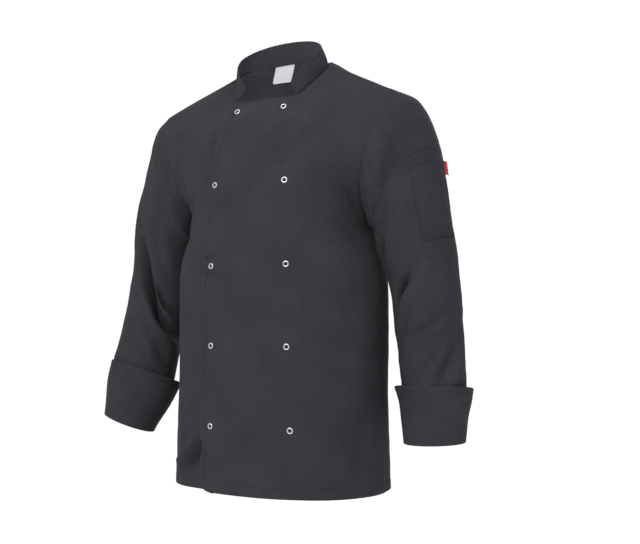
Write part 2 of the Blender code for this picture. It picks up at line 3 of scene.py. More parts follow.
import bpy
import numpy as np
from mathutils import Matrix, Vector


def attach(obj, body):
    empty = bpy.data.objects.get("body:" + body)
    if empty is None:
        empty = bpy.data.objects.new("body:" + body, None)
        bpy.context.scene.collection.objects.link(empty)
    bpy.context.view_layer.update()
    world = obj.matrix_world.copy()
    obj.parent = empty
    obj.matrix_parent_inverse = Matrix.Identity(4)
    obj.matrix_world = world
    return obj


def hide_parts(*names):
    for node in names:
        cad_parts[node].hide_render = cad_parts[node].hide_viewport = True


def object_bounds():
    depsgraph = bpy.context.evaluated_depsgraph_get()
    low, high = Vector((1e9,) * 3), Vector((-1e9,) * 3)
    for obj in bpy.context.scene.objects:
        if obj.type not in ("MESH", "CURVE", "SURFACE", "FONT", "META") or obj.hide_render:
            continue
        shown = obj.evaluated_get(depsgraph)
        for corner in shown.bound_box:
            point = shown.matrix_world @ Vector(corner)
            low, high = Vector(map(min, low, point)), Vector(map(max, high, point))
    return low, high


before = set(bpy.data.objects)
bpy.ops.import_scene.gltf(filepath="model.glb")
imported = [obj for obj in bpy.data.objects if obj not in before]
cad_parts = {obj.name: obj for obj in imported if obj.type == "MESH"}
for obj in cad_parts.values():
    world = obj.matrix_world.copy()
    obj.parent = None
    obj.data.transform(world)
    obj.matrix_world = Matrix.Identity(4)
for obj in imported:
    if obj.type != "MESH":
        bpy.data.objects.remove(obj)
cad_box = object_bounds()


# The back.  One panel of charcoal cotton and polyester twill, cut from hem to shoulders and hemmed
# along the bottom.  Every panel is drawn on a form of the filled-out body, as heights above the
# hem, so that panels share their seam lines, and its creases are pressed into that form.
NECK_HEIGHT = 0.755      # hem to the points where the shoulder seams meet the neck
CLOTH = 0.0012           # one layer of twill
FINE_UP = 181            # points of a form from the hem to the top, and from the centre to the side
FINE_ACROSS = 91
ROW = 0.0036             # spacing of a panel's points, and close to its seams and stitching
CLOSE = 0.0014
BY_SEAM = 0.010          # the stretch beside a seam with close points


def through(knots, rows, at):
    """Points of a smooth curve through rows of points, which stand at the given knots."""
    knots = np.asarray(knots, float)
    rows = np.asarray(rows, float)
    at = np.atleast_1d(np.asarray(at, float))
    slopes = np.gradient(rows, knots, axis=0)
    index = np.clip(np.searchsorted(knots, at, side="right") - 1, 0, len(knots) - 2)
    shape = (len(at),) + (1,) * (rows.ndim - 1)
    span = (knots[index + 1] - knots[index]).reshape(shape)
    u = (at - knots[index]).reshape(shape) / span
    return ((2 * u**3 - 3 * u**2 + 1) * rows[index] + (u**3 - 2 * u**2 + u) * span * slopes[index]
            + (3 * u**2 - 2 * u**3) * rows[index + 1] + (u**3 - u**2) * span * slopes[index + 1])


def lengths(line):
    """Length along a line of points, from its start to each of them."""
    return np.r_[0.0, np.cumsum(np.linalg.norm(np.diff(line, axis=0), axis=-1))]


def on_line(line, places, at):
    """Points of a line between its own points, which stand at the given places along it."""
    return np.stack([np.interp(at, places, values) for values in line.T], -1)


def spread(line, shares):
    """Points at the given shares of a line's length."""
    run = lengths(line)
    return on_line(line, run, shares * run[-1])


def unit(vectors):
    """The same directions, each of length 1."""
    return vectors / np.maximum(np.linalg.norm(vectors, axis=-1, keepdims=True), 1e-12)


def bezier(a, b, c, d):
    t = np.linspace(0, 1, FINE_ACROSS)[:, None]
    return (1 - t)**3 * a + 3 * (1 - t)**2 * t * b + 3 * (1 - t) * t**2 * c + t**3 * d


def loft(rows, ghost=None):
    """A form through rows of points; a ghost row past the end only guides the last slope."""
    rows = np.array(rows)
    guided = rows if ghost is None else np.concatenate([rows, ghost[None]])
    steps = np.linalg.norm(np.diff(guided, axis=0), axis=2).mean(1)
    knots = np.r_[0.0, np.cumsum(steps)]
    return through(knots, guided, np.linspace(0, knots[len(rows) - 1], FINE_UP))


def sample(grid, up, across):
    """Points of a grid at shares of its rows and columns, which may be arrays."""
    up, across = np.broadcast_arrays(np.asarray(up, float), np.asarray(across, float))
    row = np.clip(up, 0, 1) * (grid.shape[0] - 1)
    column = np.clip(across, 0, 1) * (grid.shape[1] - 1)
    r = np.minimum(row.astype(int), grid.shape[0] - 2)
    c = np.minimum(column.astype(int), grid.shape[1] - 2)
    u = (row - r)[..., None]
    v = (column - c)[..., None]
    return ((1 - u) * ((1 - v) * grid[r, c] + v * grid[r, c + 1])
            + u * ((1 - v) * grid[r + 1, c] + v * grid[r + 1, c + 1]))


def outward(grid, around=False):
    """Unit normals of a grid of points; around says that its last column meets its first."""
    if around:
        padded = np.concatenate([grid[:, -1:], grid, grid[:, :1]], 1)
        columns = np.gradient(padded, axis=1)[:, 1:-1]
    else:
        columns = np.gradient(grid, axis=1)
    return unit(np.cross(columns, np.gradient(grid, axis=0)))


def smooth_step(value):
    """0 up to 0 and 1 from 1 on, with a smooth rise between."""
    value = np.clip(value, 0, 1)
    return value * value * (3 - 2 * value)


def bell(distance, width):
    """1 at no distance, falling to nothing within about two widths on both sides."""
    return np.exp(-(distance / width)**2)


def graded(length, start, stop, step=ROW):
    """Places along a length, close together over its first and last stretches."""
    first = np.linspace(0, start, int(start / CLOSE) + 1)
    last = np.linspace(length - stop, length, int(stop / CLOSE) + 1)
    middle = np.linspace(start, length - stop, int((length - start - stop) / step) + 1)
    return np.r_[first, middle[1:-1], last]


# Levels of the form from the hem up: where they cross the centre line and the side seam, or higher
# up the armhole, and the way they run there, in degrees
Section = namedtuple("Section", "name y_centre z_centre x_side y_side z_side turn")
FRONT = [
    Section("hem", -0.137, 0.000, 0.202, 0.000, 0.000, 90),
    Section("hip", -0.136, 0.150, 0.200, 0.000, 0.150, 90),
    Section("waist", -0.136, 0.300, 0.2005, 0.000, 0.300, 90),
    Section("ribs", -0.137, 0.390, 0.1965, -0.002, 0.390, 89),
    Section("underarm", -0.137, 0.455, 0.176, -0.004, 0.455, 88),
    Section("chest", -0.134, 0.530, 0.178, -0.062, 0.525, 62),
    Section("upper", -0.120, 0.600, 0.198, -0.076, 0.600, 40),
    Section("yoke", -0.100, 0.652, 0.218, -0.064, 0.650, 28),
]
BACK = [
    Section("hem", 0.137, 0.000, 0.202, 0.000, 0.000, -90),
    Section("hip", 0.136, 0.150, 0.200, 0.000, 0.150, -90),
    Section("waist", 0.134, 0.300, 0.2005, 0.000, 0.300, -90),
    Section("ribs", 0.134, 0.390, 0.1965, -0.002, 0.390, -89),
    Section("underarm", 0.134, 0.460, 0.176, -0.004, 0.455, -88),
    Section("blade", 0.133, 0.560, 0.182, 0.074, 0.545, -50),
    Section("upper", 0.120, 0.660, 0.206, 0.070, 0.625, -28),
    Section("ridge", 0.084, 0.745, 0.226, 0.026, 0.668, -20),
]
UNDERARM = 4             # the section that the armhole starts from
FULLNESS = 0.62          # how square a section's corners are
SIDE_PULL = 8            # how close to the side the form bends over to the shared side seam
PAST_TOP = 0.6           # how much further the last slope below the neck seam is carried on
TURN_WIDTH = 0.06        # share of the top edge over which it turns into the shoulder's slope
NECK_SHARE = 0.44        # share of the top edge that is neck seam; the rest is shoulder seam
SHOULDER_TIP = (0.2265, -0.030, 0.690)
SHOULDER_BOW = (0, -0.006, -0.001)

# How the back rises past its top level before it turns forward to the neck and shoulder seams
Crest = namedtuple("Crest", "share back up")
CREST = [Crest(0.0, 0.020, -0.017), Crest(0.30, 0.019, 0.000), Crest(0.44, 0.022, 0.0135),
         Crest(0.60, 0.024, 0.009), Crest(0.80, 0.022, 0.006), Crest(1.0, 0.018, 0.004)]

# The neck seam from the centre front round the left side to the centre back.  Its places are named
# in degrees, 98 being the neck point.  At each, the collar's height and how far its top leans in
# and forward.
Neck = namedtuple("Neck", "angle x y z collar_height collar_lean collar_forward")
NECK = [
    Neck(0, 0.0000, -0.0725, 0.6900, 0.0240, 0.0170, 0.0100),
    Neck(20, 0.0321, -0.0698, 0.6885, 0.0240, 0.0175, 0.0100),
    Neck(38, 0.0585, -0.0614, 0.6925, 0.0240, 0.0172, 0.0097),
    Neck(60, 0.0763, -0.0372, 0.7185, 0.0292, 0.0096, 0.0116),
    Neck(80, 0.0884, -0.0162, 0.7408, 0.0305, 0.0083, 0.0123),
    Neck(98, 0.0935, -0.0011, 0.7568, 0.0327, 0.0109, 0.0054),
    Neck(118, 0.0828, 0.0166, 0.7706, 0.0350, 0.0110, 0.0010),
    Neck(142, 0.0551, 0.0334, 0.7819, 0.0360, 0.0095, 0.0000),
    Neck(160, 0.0299, 0.0402, 0.7868, 0.0357, 0.0087, 0.0000),
    Neck(180, 0.0000, 0.0425, 0.7890, 0.0350, 0.0080, 0.0000),
]
NECK_MIDDLE = (0, -0.015, 0)
NECK_POINT = 98


def level(section, shares):
    """One level of half the body, from the centre line to the side."""
    turn = np.radians(section.turn)
    side = np.array([section.x_side, section.y_side])
    reach = FULLNESS * section.x_side
    depth = FULLNESS * abs(section.y_side - section.y_centre)
    plan = bezier(np.array([0.0, section.y_centre]), np.array([reach, section.y_centre]),
                  side - np.array([reach * np.cos(turn), depth * np.sin(turn)]), side)
    z = section.z_centre + (section.z_side - section.z_centre) * shares**2
    return np.column_stack([spread(plan, shares), z])


def neck_seam(angle):
    """Points of the neck seam at places of its table, on the wearer's left side."""
    right = [(-row.x, row.y, row.z) for row in NECK[1:]]
    left = [(row.x, row.y, row.z) for row in NECK]
    places = [-NECK[1].angle] + [row.angle for row in NECK] + [360 - NECK[-2].angle]
    return through(places, right[:1] + left + right[-2:-1], angle)


def top_edge(shares, back):
    """The neck seam from the centre to the neck point, then the shoulder seam to its tip."""
    neck = spread(neck_seam(np.linspace(180 if back else 0, NECK_POINT, FINE_ACROSS)),
                  np.clip(shares / NECK_SHARE, 0, 1))
    u = np.clip((shares - NECK_SHARE) / (1 - NECK_SHARE), 0, 1)[:, None]
    start = neck_seam(NECK_POINT)[0]
    bow = np.array(SHOULDER_BOW) * 4 * u * (1 - u)
    return np.where(shares[:, None] < NECK_SHARE, neck, start + (SHOULDER_TIP - start) * u + bow)


def body_form(back):
    """Half of the front or of the back, hem to top edge and centre to side."""
    shares = np.linspace(0, 1, FINE_ACROSS)
    fronts = [level(section, shares) for section in FRONT] + [top_edge(shares, False)]
    backs = [level(section, shares) for section in BACK] + [top_edge(shares, True)]
    crest = through([row.share for row in CREST], [(0, row.back, row.up) for row in CREST], shares)
    backs.insert(-1, backs[-1] + crest)
    own, other = (backs, fronts) if back else (fronts, backs)
    past_seam = smooth_step((shares - NECK_SHARE) / (2 * TURN_WIDTH) + 0.5)[:, None]
    past_neck = own[-1] + (own[-1] - own[-2]) * PAST_TOP
    form = loft(own, past_seam * other[-2] + (1 - past_seam) * past_neck)
    sides = np.array([(row.x_side, row.y_side, row.z_side) for row in FRONT[:UNDERARM + 1]])
    low = form[:, -1, 2] < sides[-1, 2]
    seam = through(sides[:, 2], sides, form[low, -1, 2])
    form[low] += (seam - form[low, -1])[:, None] * (shares**SIDE_PULL)[None, :, None]
    return form


def form_length(form):
    """How long a form is from its first row to its last, on the average."""
    return np.linalg.norm(np.diff(form, axis=0), axis=2).mean(1).sum()


FRONT_FORM = body_form(back=False)
BACK_FORM = body_form(back=True)


def on_body(form, up, across):
    """Points of the body form; across runs from -1 at the right side to 1 at the left."""
    points = sample(form, up, np.abs(across))
    return points * np.stack([np.sign(across) + (across == 0), np.ones_like(across),
                              np.ones_like(across)], -1)


def on_back(up, across):
    return on_body(BACK_FORM, up, across)


# A crease runs along a path of places on a form.  Depth is how far it presses in, or with a minus
# stands out, and lean heaps the cloth up beside it, on one side or the other.
Crease = namedtuple("Crease", "name path width depth lean", defaults=(0.0,))
CREASE_STEPS = 14        # points of a crease's line for each place of its path
CREASE_REACH = 3.2       # how far to its sides it still shows, in widths
CREASE_EDGE = 1.7        # powers that shape its cross-section and the way it dies out
CREASE_TAPER = 0.8
CREASE_END = 0.06        # share of the taper that is left out at each end
RIDGE_SHARE = 0.6        # the heaped-up cloth's height for a lean of 1, its place and its width
RIDGE_AWAY = 1.7
RIDGE_WIDTH = 0.9


def crease_depth(grid, normals, creases, locate):
    """How far creases press each point of a grid in."""
    depth = np.zeros(grid.shape[:2])
    for crease in creases:
        knots = np.arange(len(crease.path))
        t = np.linspace(0, knots[-1], CREASE_STEPS * len(knots))
        places = through(knots, crease.path, t)
        line = locate(places[:, 0], places[:, 1])
        reach = CREASE_REACH * crease.width
        near = ((grid > line.min(0) - reach) & (grid < line.max(0) + reach)).all(2)
        apart = grid[near][:, None] - line[None]
        distance = np.linalg.norm(apart, axis=2)
        closest = distance.argmin(1)
        each = np.arange(len(closest))
        sideways = np.cross(normals[near], np.gradient(line, axis=0)[closest])
        side = np.sign(np.einsum("ij,ij->i", sideways, apart[each, closest]))
        x = side * distance[each, closest] / crease.width
        ridge = bell(x - RIDGE_AWAY * np.sign(crease.lean), RIDGE_WIDTH)
        taper = np.sin(np.pi * (CREASE_END + (1 - 2 * CREASE_END) * t[closest] / knots[-1]))
        profile = np.exp(-np.abs(x)**CREASE_EDGE) - RIDGE_SHARE * abs(crease.lean) * ridge
        depth[near] += crease.depth * taper**CREASE_TAPER * profile
    return depth


WAVES = 9                # sines in each uneven wave


def wobble(grid, size, seed):
    """An uneven wave over a grid, about as long as size and from about -1 to 1."""
    chance = np.random.default_rng(seed)
    wave = np.zeros(grid.shape[:2])
    for _ in range(WAVES):
        way = chance.normal(size=3)
        way *= 2 * np.pi / (size * chance.uniform(0.7, 1.6) * np.linalg.norm(way))
        wave += np.sin(grid @ way + chance.uniform(0, 2 * np.pi))
    return wave / np.sqrt(WAVES)


Ripple = namedtuple("Ripple", "height size")


def rippled(grid, ripples, seed):
    """The unevenness of worn cloth, as a sum of waves."""
    return sum(ripple.height * wobble(grid, ripple.size, seed + k)
               for k, ripple in enumerate(ripples))


class Wire:
    """An output of a material's nodes; sums with it add Math nodes."""

    def __init__(self, tree, socket=None):
        self.tree = tree
        self.socket = socket

    def node(self, kind, settings, inputs, output=0):
        """Any node: its settings are made first, then its sockets take their values or wires."""
        made = self.tree.nodes.new("ShaderNode" + kind)
        for name, value in settings.items():
            if name == "stops":
                for element, (place, shade) in zip(made.color_ramp.elements, value):
                    element.position = place
                    element.color = (shade, shade, shade, 1)
            else:
                setattr(made, name, value)
        for name, value in inputs.items():
            if isinstance(value, Wire):
                self.tree.links.new(value.socket, made.inputs[name])
            else:
                made.inputs[name].default_value = value
        return Wire(self.tree, made.outputs[output])

    def sum(self, operation, *values):
        return self.node("Math", {"operation": operation}, dict(enumerate(values)))

    def __add__(self, other):
        return self.sum("ADD", self, other)

    def __sub__(self, other):
        return self.sum("SUBTRACT", self, other)

    def __rsub__(self, other):
        return self.sum("SUBTRACT", other, self)

    def __mul__(self, other):
        return self.sum("MULTIPLY", self, other)

    __radd__ = __add__
    __rmul__ = __mul__

    def sine(self):
        return self.sum("SINE", self)

    def cloth(self):
        """Where a point lies in the flat cloth, in metres."""
        return self.node("UVMap", {"uv_map": "cloth"}, {})

    def place(self):
        """Where a point lies in the object, in metres."""
        return self.node("TexCoord", {}, {}, "Object")

    def stretched(self, *scale):
        """These coordinates, multiplied by a scale for each axis."""
        return self.node("VectorMath", {"operation": "MULTIPLY"}, {0: self, 1: scale})

    def noise(self, scale, detail=2.0):
        return self.node("TexNoise", {}, {"Vector": self, "Scale": scale, "Detail": detail})

    def part(self, axis):
        return self.node("SeparateXYZ", {}, {0: self}, axis)

    def blend(self, low, high):
        """Two colours mixed by this value."""
        return self.node("Mix", {"data_type": "RGBA"}, {0: self, 6: (*low, 1), 7: (*high, 1)}, 2)

    def relief(self, strength, distance):
        """The normals of a surface with this value as its height."""
        return self.node("Bump", {}, {"Strength": strength, "Distance": distance, "Height": self})


def new_material(name, **settings):
    """A material, its shader and the start of its wires; settings are the same all over."""
    made = bpy.data.materials.new(name)
    made.use_nodes = True
    shader = made.node_tree.nodes["Principled BSDF"]
    for socket, value in settings.items():
        shader.inputs[socket.replace("_", " ")].default_value = value
    return made, shader, Wire(made.node_tree)


def feed(shader, socket, wire):
    wire.tree.links.new(wire.socket, shader.inputs[socket])


TWILL_DARK = (0.0295, 0.0280, 0.0330)
TWILL_LIGHT = (0.0485, 0.0470, 0.0540)
TWILL_RIB = 0.0013       # spacing of its diagonal ribs along the cloth


def twill_material():
    """Fine diagonal ribs, streaks along the warp, and a soft uneven dye."""
    made, shader, wires = new_material("charcoal_twill", Sheen_Weight=0.03, Sheen_Roughness=0.5,
                                       Sheen_Tint=(0.80, 0.84, 0.92, 1), Specular_IOR_Level=0.10)
    flat = wires.cloth()
    dye = flat.noise(14, 3.0)
    streak = flat.stretched(2600, 90, 1).noise(1.0, 2.0)
    speck = flat.stretched(900, 700, 1).noise(1.0, 1.0)
    warp_slub = flat.stretched(620, 120, 1).noise(1.0, 2.0)
    weft_slub = flat.stretched(90, 560, 1).noise(1.0, 2.0)
    tone = dye * 0.24 + streak * 0.20 + speck * 0.20 + warp_slub * 0.20 + weft_slub * 0.16
    ramp = tone.node("ValToRGB", {"stops": ((0.395, 0), (0.605, 1))}, {0: tone})
    feed(shader, "Base Color", ramp.blend(TWILL_DARK, TWILL_LIGHT))
    feed(shader, "Roughness", streak * 0.10 + 0.80)
    ribs = (flat.part(0) * 2.0 + flat.part(1)) * (2 * np.pi / TWILL_RIB)
    feed(shader, "Normal", (ribs.sine() * 0.5 + speck).relief(0.35, 0.00012))
    return made


TWILL = twill_material()


def cloth_places(outer, around):
    """Where each point lies in the flat cloth, in metres, from the middle column and first row."""
    if around:
        outer = np.concatenate([outer, outer[:, :1]], 1)
    across = np.concatenate([np.zeros((len(outer), 1)),
                             np.linalg.norm(np.diff(outer, axis=1), axis=2).cumsum(1)], 1)
    across -= across[:, across.shape[1] // 2][:, None]
    along = np.concatenate([np.zeros((1, outer.shape[1])),
                            np.linalg.norm(np.diff(outer, axis=0), axis=2).cumsum(0)], 0)
    return np.stack([across, along], -1)


def add_mesh(name, points, faces, finish):
    """A smooth piece of the given points, whose heights are counted from the hem."""
    mesh = bpy.data.meshes.new(name)
    mesh.from_pydata((points - np.array([0, 0, NECK_HEIGHT])).tolist(), [], faces)
    mesh.materials.append(finish)
    mesh.shade_smooth()
    made = bpy.data.objects.new(name, mesh)
    bpy.context.scene.collection.objects.link(made)
    return made


RIM = 0.4                # how far the middle of a cut edge stands out, in thicknesses


def add_cloth(name, outer, thickness=CLOTH, finish=TWILL, around=False):
    """A sheet with both its skins and soft rims, from rows of points of its outer skin."""
    rows, columns = outer.shape[:2]
    inner = outer - thickness * outward(outer, around)
    count = rows * columns
    index = np.arange(count).reshape(rows, columns)
    wide = np.concatenate([index, index[:, :1]], 1) if around else index
    skin = np.stack([wide[:-1, :-1], wide[:-1, 1:], wide[1:, 1:], wide[1:, :-1]], -1).reshape(-1, 4)
    faces = [skin, skin[:, ::-1] + count]
    points = [outer.reshape(-1, 3), inner.reshape(-1, 3)]
    if around:
        rims = [(index[0], index[1]), (index[-1, ::-1], index[-2, ::-1])]
    else:
        rims = [(np.r_[index[0, :-1], index[:-1, -1], index[-1, :0:-1], index[:0:-1, 0]],
                 np.r_[index[1, :-1], index[:-1, -2], index[-2, :0:-1], index[:0:-1, 1]])]
    total = 2 * count
    for edge, within in rims:
        out, back = points[0][edge], points[1][edge]
        away = unit(out - points[0][within])
        middle = np.arange(total, total + len(edge))
        total += len(edge)
        points.append((out + back) / 2 + away * thickness * RIM)
        after = np.roll(edge, -1)
        faces.append(np.stack([after, edge, middle, np.roll(middle, -1)], -1))
        faces.append(np.stack([np.roll(middle, -1), middle, edge + count, after + count], -1))
    made = add_mesh(name, np.concatenate(points), np.concatenate(faces).tolist(), finish)
    mesh = made.data
    corner = np.empty(len(mesh.loops), np.int32)
    mesh.loops.foreach_get("vertex_index", corner)
    flat = cloth_places(outer, around)
    at_vertex = flat[:, :columns].reshape(-1, 2)
    at_rim = at_vertex[np.concatenate([edge for edge, _ in rims])]
    places = np.concatenate([at_vertex, at_vertex, at_rim])[corner]
    if around:
        closing = np.arange(len(skin)).reshape(rows - 1, columns)[:, -1]
        for quads in (closing, closing + len(skin)):
            for k in (1, 2):
                at = quads * 4 + k
                places[at] = flat[corner[at] % count // columns, -1]
    layer = mesh.uv_layers.new(name="cloth")
    layer.data.foreach_set("uv", places.astype(np.float32).ravel())
    mesh.validate()
    return made


# Sewing thread: each stitch is a short, round-ended bar that sinks into the cloth at its ends
STITCH = 0.0030
STITCH_GAP = 0.0009
THREAD = 0.00030         # its radius
STITCH_SHAPE = ((0.0, 0.2, -0.6), (0.15, 0.8, 0.25), (0.5, 1.0, 0.55), (0.85, 0.8, 0.25),
                (1.0, 0.2, -0.6))     # share along, share of the thread's radius, lift in radii
THREAD_SIDES = 5


def thread_material():
    made, shader, wires = new_material("charcoal_thread", Roughness=0.8, Specular_IOR_Level=0.15)
    twist = wires.place().noise(1400, 1.0)
    feed(shader, "Base Color", twist.blend((0.018, 0.018, 0.021), (0.036, 0.035, 0.040)))
    return made


THREAD_FINISH = thread_material()


def add_stitching(name, lines):
    """Stitches along lines, each a pair of points and the normals of the cloth there."""
    points, faces = [], []
    turn = 2 * np.pi * np.arange(THREAD_SIDES)[:, None] / THREAD_SIDES
    for line, normals in lines:
        run = lengths(line)
        for start in np.arange(0, run[-1] - STITCH, STITCH + STITCH_GAP):
            rings = []
            for share, size, lift in STITCH_SHAPE:
                at = start + share * STITCH
                centre = on_line(line, run, at)
                up = unit(on_line(normals, run, at))
                side = unit(np.cross(up, on_line(line, run, at + 1e-4) - centre))
                rings.append(len(points) + np.arange(THREAD_SIDES))
                points.extend(centre + up * THREAD * lift
                              + THREAD * size * (np.cos(turn) * side + np.sin(turn) * up))
            for one, two in zip(rings, rings[1:]):
                faces.extend(np.stack([one, np.roll(one, -1), np.roll(two, -1), two], -1).tolist())
            faces += [rings[0][::-1].tolist(), rings[-1].tolist()]
    made = add_mesh(name, np.array(points), faces, THREAD_FINISH)
    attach(made, "root")
    return made


def grid_line(outer, rows, columns):
    """A line over a grid through fractional row and column numbers, and its normals."""
    up = rows / (outer.shape[0] - 1)
    across = columns / (outer.shape[1] - 1)
    return sample(outer, up, across), sample(outward(outer), up, across)


HEM = 0.017              # the hem's turn-up
BACK_LENGTH = form_length(BACK_FORM)
BACK_WIDTH = 0.275       # of half the back at the hem
BY_HEM = HEM + 0.008     # the stretch at the hem with close points
HEM_DRAW = (0.00045, 0.0016)     # depth and width of the furrow along the hem's stitching
DOUBLED = 0.00035        # how much a turned-in edge stands proud, and over what it rises
DOUBLED_RISE = 0.003
SIDE_ROLL = (0.0009, 0.0022)     # how deep and how wide cloth rolls in at the seams
SHOULDER_ROLL = (0.0030, 0.0020)
NECK_ROLL = (0.0012, 0.0022)
NECK_PULL = 0.7          # its share inward, and as much down
COLLAR_HOLDS = 0.04      # share of the top edge over which the collar's hold ends
BACK_RIPPLES = [Ripple(0.0007, 0.11), Ripple(0.00016, 0.026)]
FLAT_BY_SEAM = 0.012     # how far from a seam creases and ripples have their full depth


def furrow(distance, size):
    """The depth of a furrow at distances from its middle; its size is its depth and its width."""
    depth, width = size
    return depth * bell(distance, width)


def turned_in(distance, stitching, draw, proud=DOUBLED):
    """A turned-in edge is thicker, and its stitching is drawn into the cloth."""
    return (furrow(distance - stitching, draw)
            - proud * smooth_step((stitching - distance) / DOUBLED_RISE))


def past_neck(across):
    """0 along the neck seam, where the collar holds the edge up, and 1 along the shoulder seam."""
    return smooth_step((np.abs(across) - NECK_SHARE) / COLLAR_HOLDS)


def to_neck(points):
    """The level directions from points towards the middle of the neck."""
    return unit((np.array(NECK_MIDDLE) - points) * np.array([1, 1, 0]))


def neck_roll(points, distance):
    """How the neck seam pulls the cloth beside it in and down, on the collar and panels alike."""
    way = NECK_PULL * (to_neck(points) - np.array([0, 0, 1]))
    return way * furrow(distance, NECK_ROLL)[..., None]


BACK_CREASES = [
    Crease("right blade", [(0.72, -0.30), (0.62, -0.52), (0.57, -0.78)], 0.020, 0.0040, 0.5),
    Crease("left blade", [(0.70, 0.22), (0.63, 0.50), (0.585, 0.80)], 0.022, 0.0045, -0.5),
    Crease("right underarm", [(0.60, -0.97), (0.53, -0.74), (0.47, -0.55)], 0.014, 0.0040, 0.6),
    Crease("left underarm", [(0.60, 0.97), (0.52, 0.72), (0.45, 0.50)], 0.015, 0.0036, -0.6),
    Crease("small of the back", [(0.44, -0.34), (0.405, 0.02), (0.43, 0.40)], 0.024, 0.0032, 0.4),
    Crease("below it", [(0.36, -0.20), (0.335, 0.10), (0.35, 0.30)], 0.020, -0.0024),
    Crease("right drop", [(0.42, -0.45), (0.22, -0.40), (0.01, -0.46)], 0.028, 0.0050, -0.3),
    Crease("left drop", [(0.34, 0.36), (0.16, 0.33), (0.0, 0.30)], 0.032, 0.0046, 0.3),
    Crease("right side", [(0.30, -0.74), (0.12, -0.70), (0.0, -0.76)], 0.026, 0.0040, 0.3),
    Crease("left side", [(0.24, 0.80), (0.03, 0.70)], 0.026, 0.0044, -0.3),
    Crease("below the neck", [(0.955, -0.16), (0.945, 0.02), (0.957, 0.20)], 0.012, 0.0012, 0.4),
]


def back_grid():
    rows = graded(BACK_LENGTH, BY_HEM, BY_SEAM)
    half = graded(BACK_WIDTH, 0, BY_SEAM) / BACK_WIDTH
    across = np.r_[half[::-1], -half[1:]]
    grid = on_back((rows / BACK_LENGTH)[:, None], across[None])
    normals = outward(grid)
    to_side = ((1 - np.abs(across)) * BACK_WIDTH)[None]
    to_top = (BACK_LENGTH - rows)[:, None]
    depth = crease_depth(grid, normals, BACK_CREASES, on_back) + rippled(grid, BACK_RIPPLES, 1)
    depth *= smooth_step(to_side / FLAT_BY_SEAM) * smooth_step(to_top / FLAT_BY_SEAM)
    depth += turned_in(rows, HEM, HEM_DRAW)[:, None] + furrow(to_side, SIDE_ROLL)
    past = past_neck(across)[None]
    depth += past * furrow(to_top, SHOULDER_ROLL)
    roll = neck_roll(grid, to_top + 0 * past) * (1 - past)[..., None]
    return grid - normals * depth[..., None] + roll, rows, across


BACK_GRID, BACK_ROWS, BACK_ACROSS = back_grid()
back = add_cloth("back_panel", BACK_GRID)
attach(back, "root")
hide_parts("back")
hem_row = np.interp(HEM, BACK_ROWS, np.arange(len(BACK_ROWS)))
back_stitching = add_stitching("back_stitching", [
    grid_line(BACK_GRID, hem_row, np.arange(len(BACK_ACROSS)))])


# The two fronts.  Each is one panel of the same twill with its free edge turned in and stitched;
# the left one laps over the right one, which lies a layer deeper there, and the ring snaps hold
# them together.  The pull of the snaps draws small puckers along the lapped edge.
CORNER = 0.022           # the radius of the lapped front's lower corner

# How far the lapped edge reaches past the centre, at heights above the hem
Lap = namedtuple("Lap", "z reach")
LAP_SHARE = 0.2          # share of the half front at which those heights are taken
LAP = [Lap(0.0, 0.0945), Lap(0.390, 0.0945), Lap(0.450, 0.092), Lap(0.530, 0.084),
       Lap(0.600, 0.073), Lap(0.660, 0.062), Lap(0.700, 0.0575)]

# The right front's edge reaches a little further, and lies a layer and a gap under the left one
UNDERLAP = 1.09
LAY_GAP = 0.0014
NECK_SINK = 1.0          # how many layers deeper still it lies at the neck, and from where up
SINK_FROM = 0.85
HEM_SINK = 4.5           # and at the hem, and up to where
HEM_SINK_TO = 0.30
UNDERLAP_EASE = (0.36, 0.64)     # shares of the half front over which it comes up to its own level

FRONT_LENGTH = form_length(FRONT_FORM)
FRONT_WIDTH = 0.275      # of half the front at the hem, and with the lap
LAPPED_WIDTH = FRONT_WIDTH * 1.3
BY_EDGE = 0.016          # the stretch at the free edge with close points, and how many
EDGE_POINTS = 13
EDGE_STITCH = 0.0102     # from the free edge in to its stitching
EDGE_DRAW = (0.0007, 0.0015)     # depth and width of the furrow along it
EDGE_SWELL = (0.0008, 0.0022)    # the turned-in edge stands out between it and the edge
SWELL_AT = 0.0035
NECK_STITCH = 0.0065     # from the neck edge down to its stitching, and that furrow
NECK_DRAW = (0.0008, 0.0013)
NECK_STITCH_RUN = FRONT_WIDTH * 0.45
COLLAR_START = 0.4       # share of the front neck seam at which the collar's end stands, and over
SEWN_RISE = 0.05         # which its pull sets in

# Rows of ring snaps: height above the hem and distance from the centre on each side
Snap = namedtuple("Snap", "z right left")
SNAPS = [Snap(0.667, 0.0465, 0.0465), Snap(0.530, 0.068, 0.068), Snap(0.388, 0.073, 0.072),
         Snap(0.250, 0.073, 0.073), Snap(0.112, 0.073, 0.079)]
SNAP_DISH = (0.0014, 0.0085)     # how deep a ring presses the cloth in, and how wide
RAYS = 5                 # small rays round it, their height and spread, and how far out they lie
SNAP_RAYS = (0.00035, 0.006)
RAYS_AT = 0.011
NECK_SNAP_TILT = 0.45    # the cloth stands more upright round the uppermost pair
TILT_WIDTH = 0.012
EDGE_PULL = (0.0006, 0.0008)     # the height of the edge's puckers, and how much more by a snap
PULL_REACH = 0.035
EDGE_PUCKER = 0.013      # their spacing, and how far in they reach

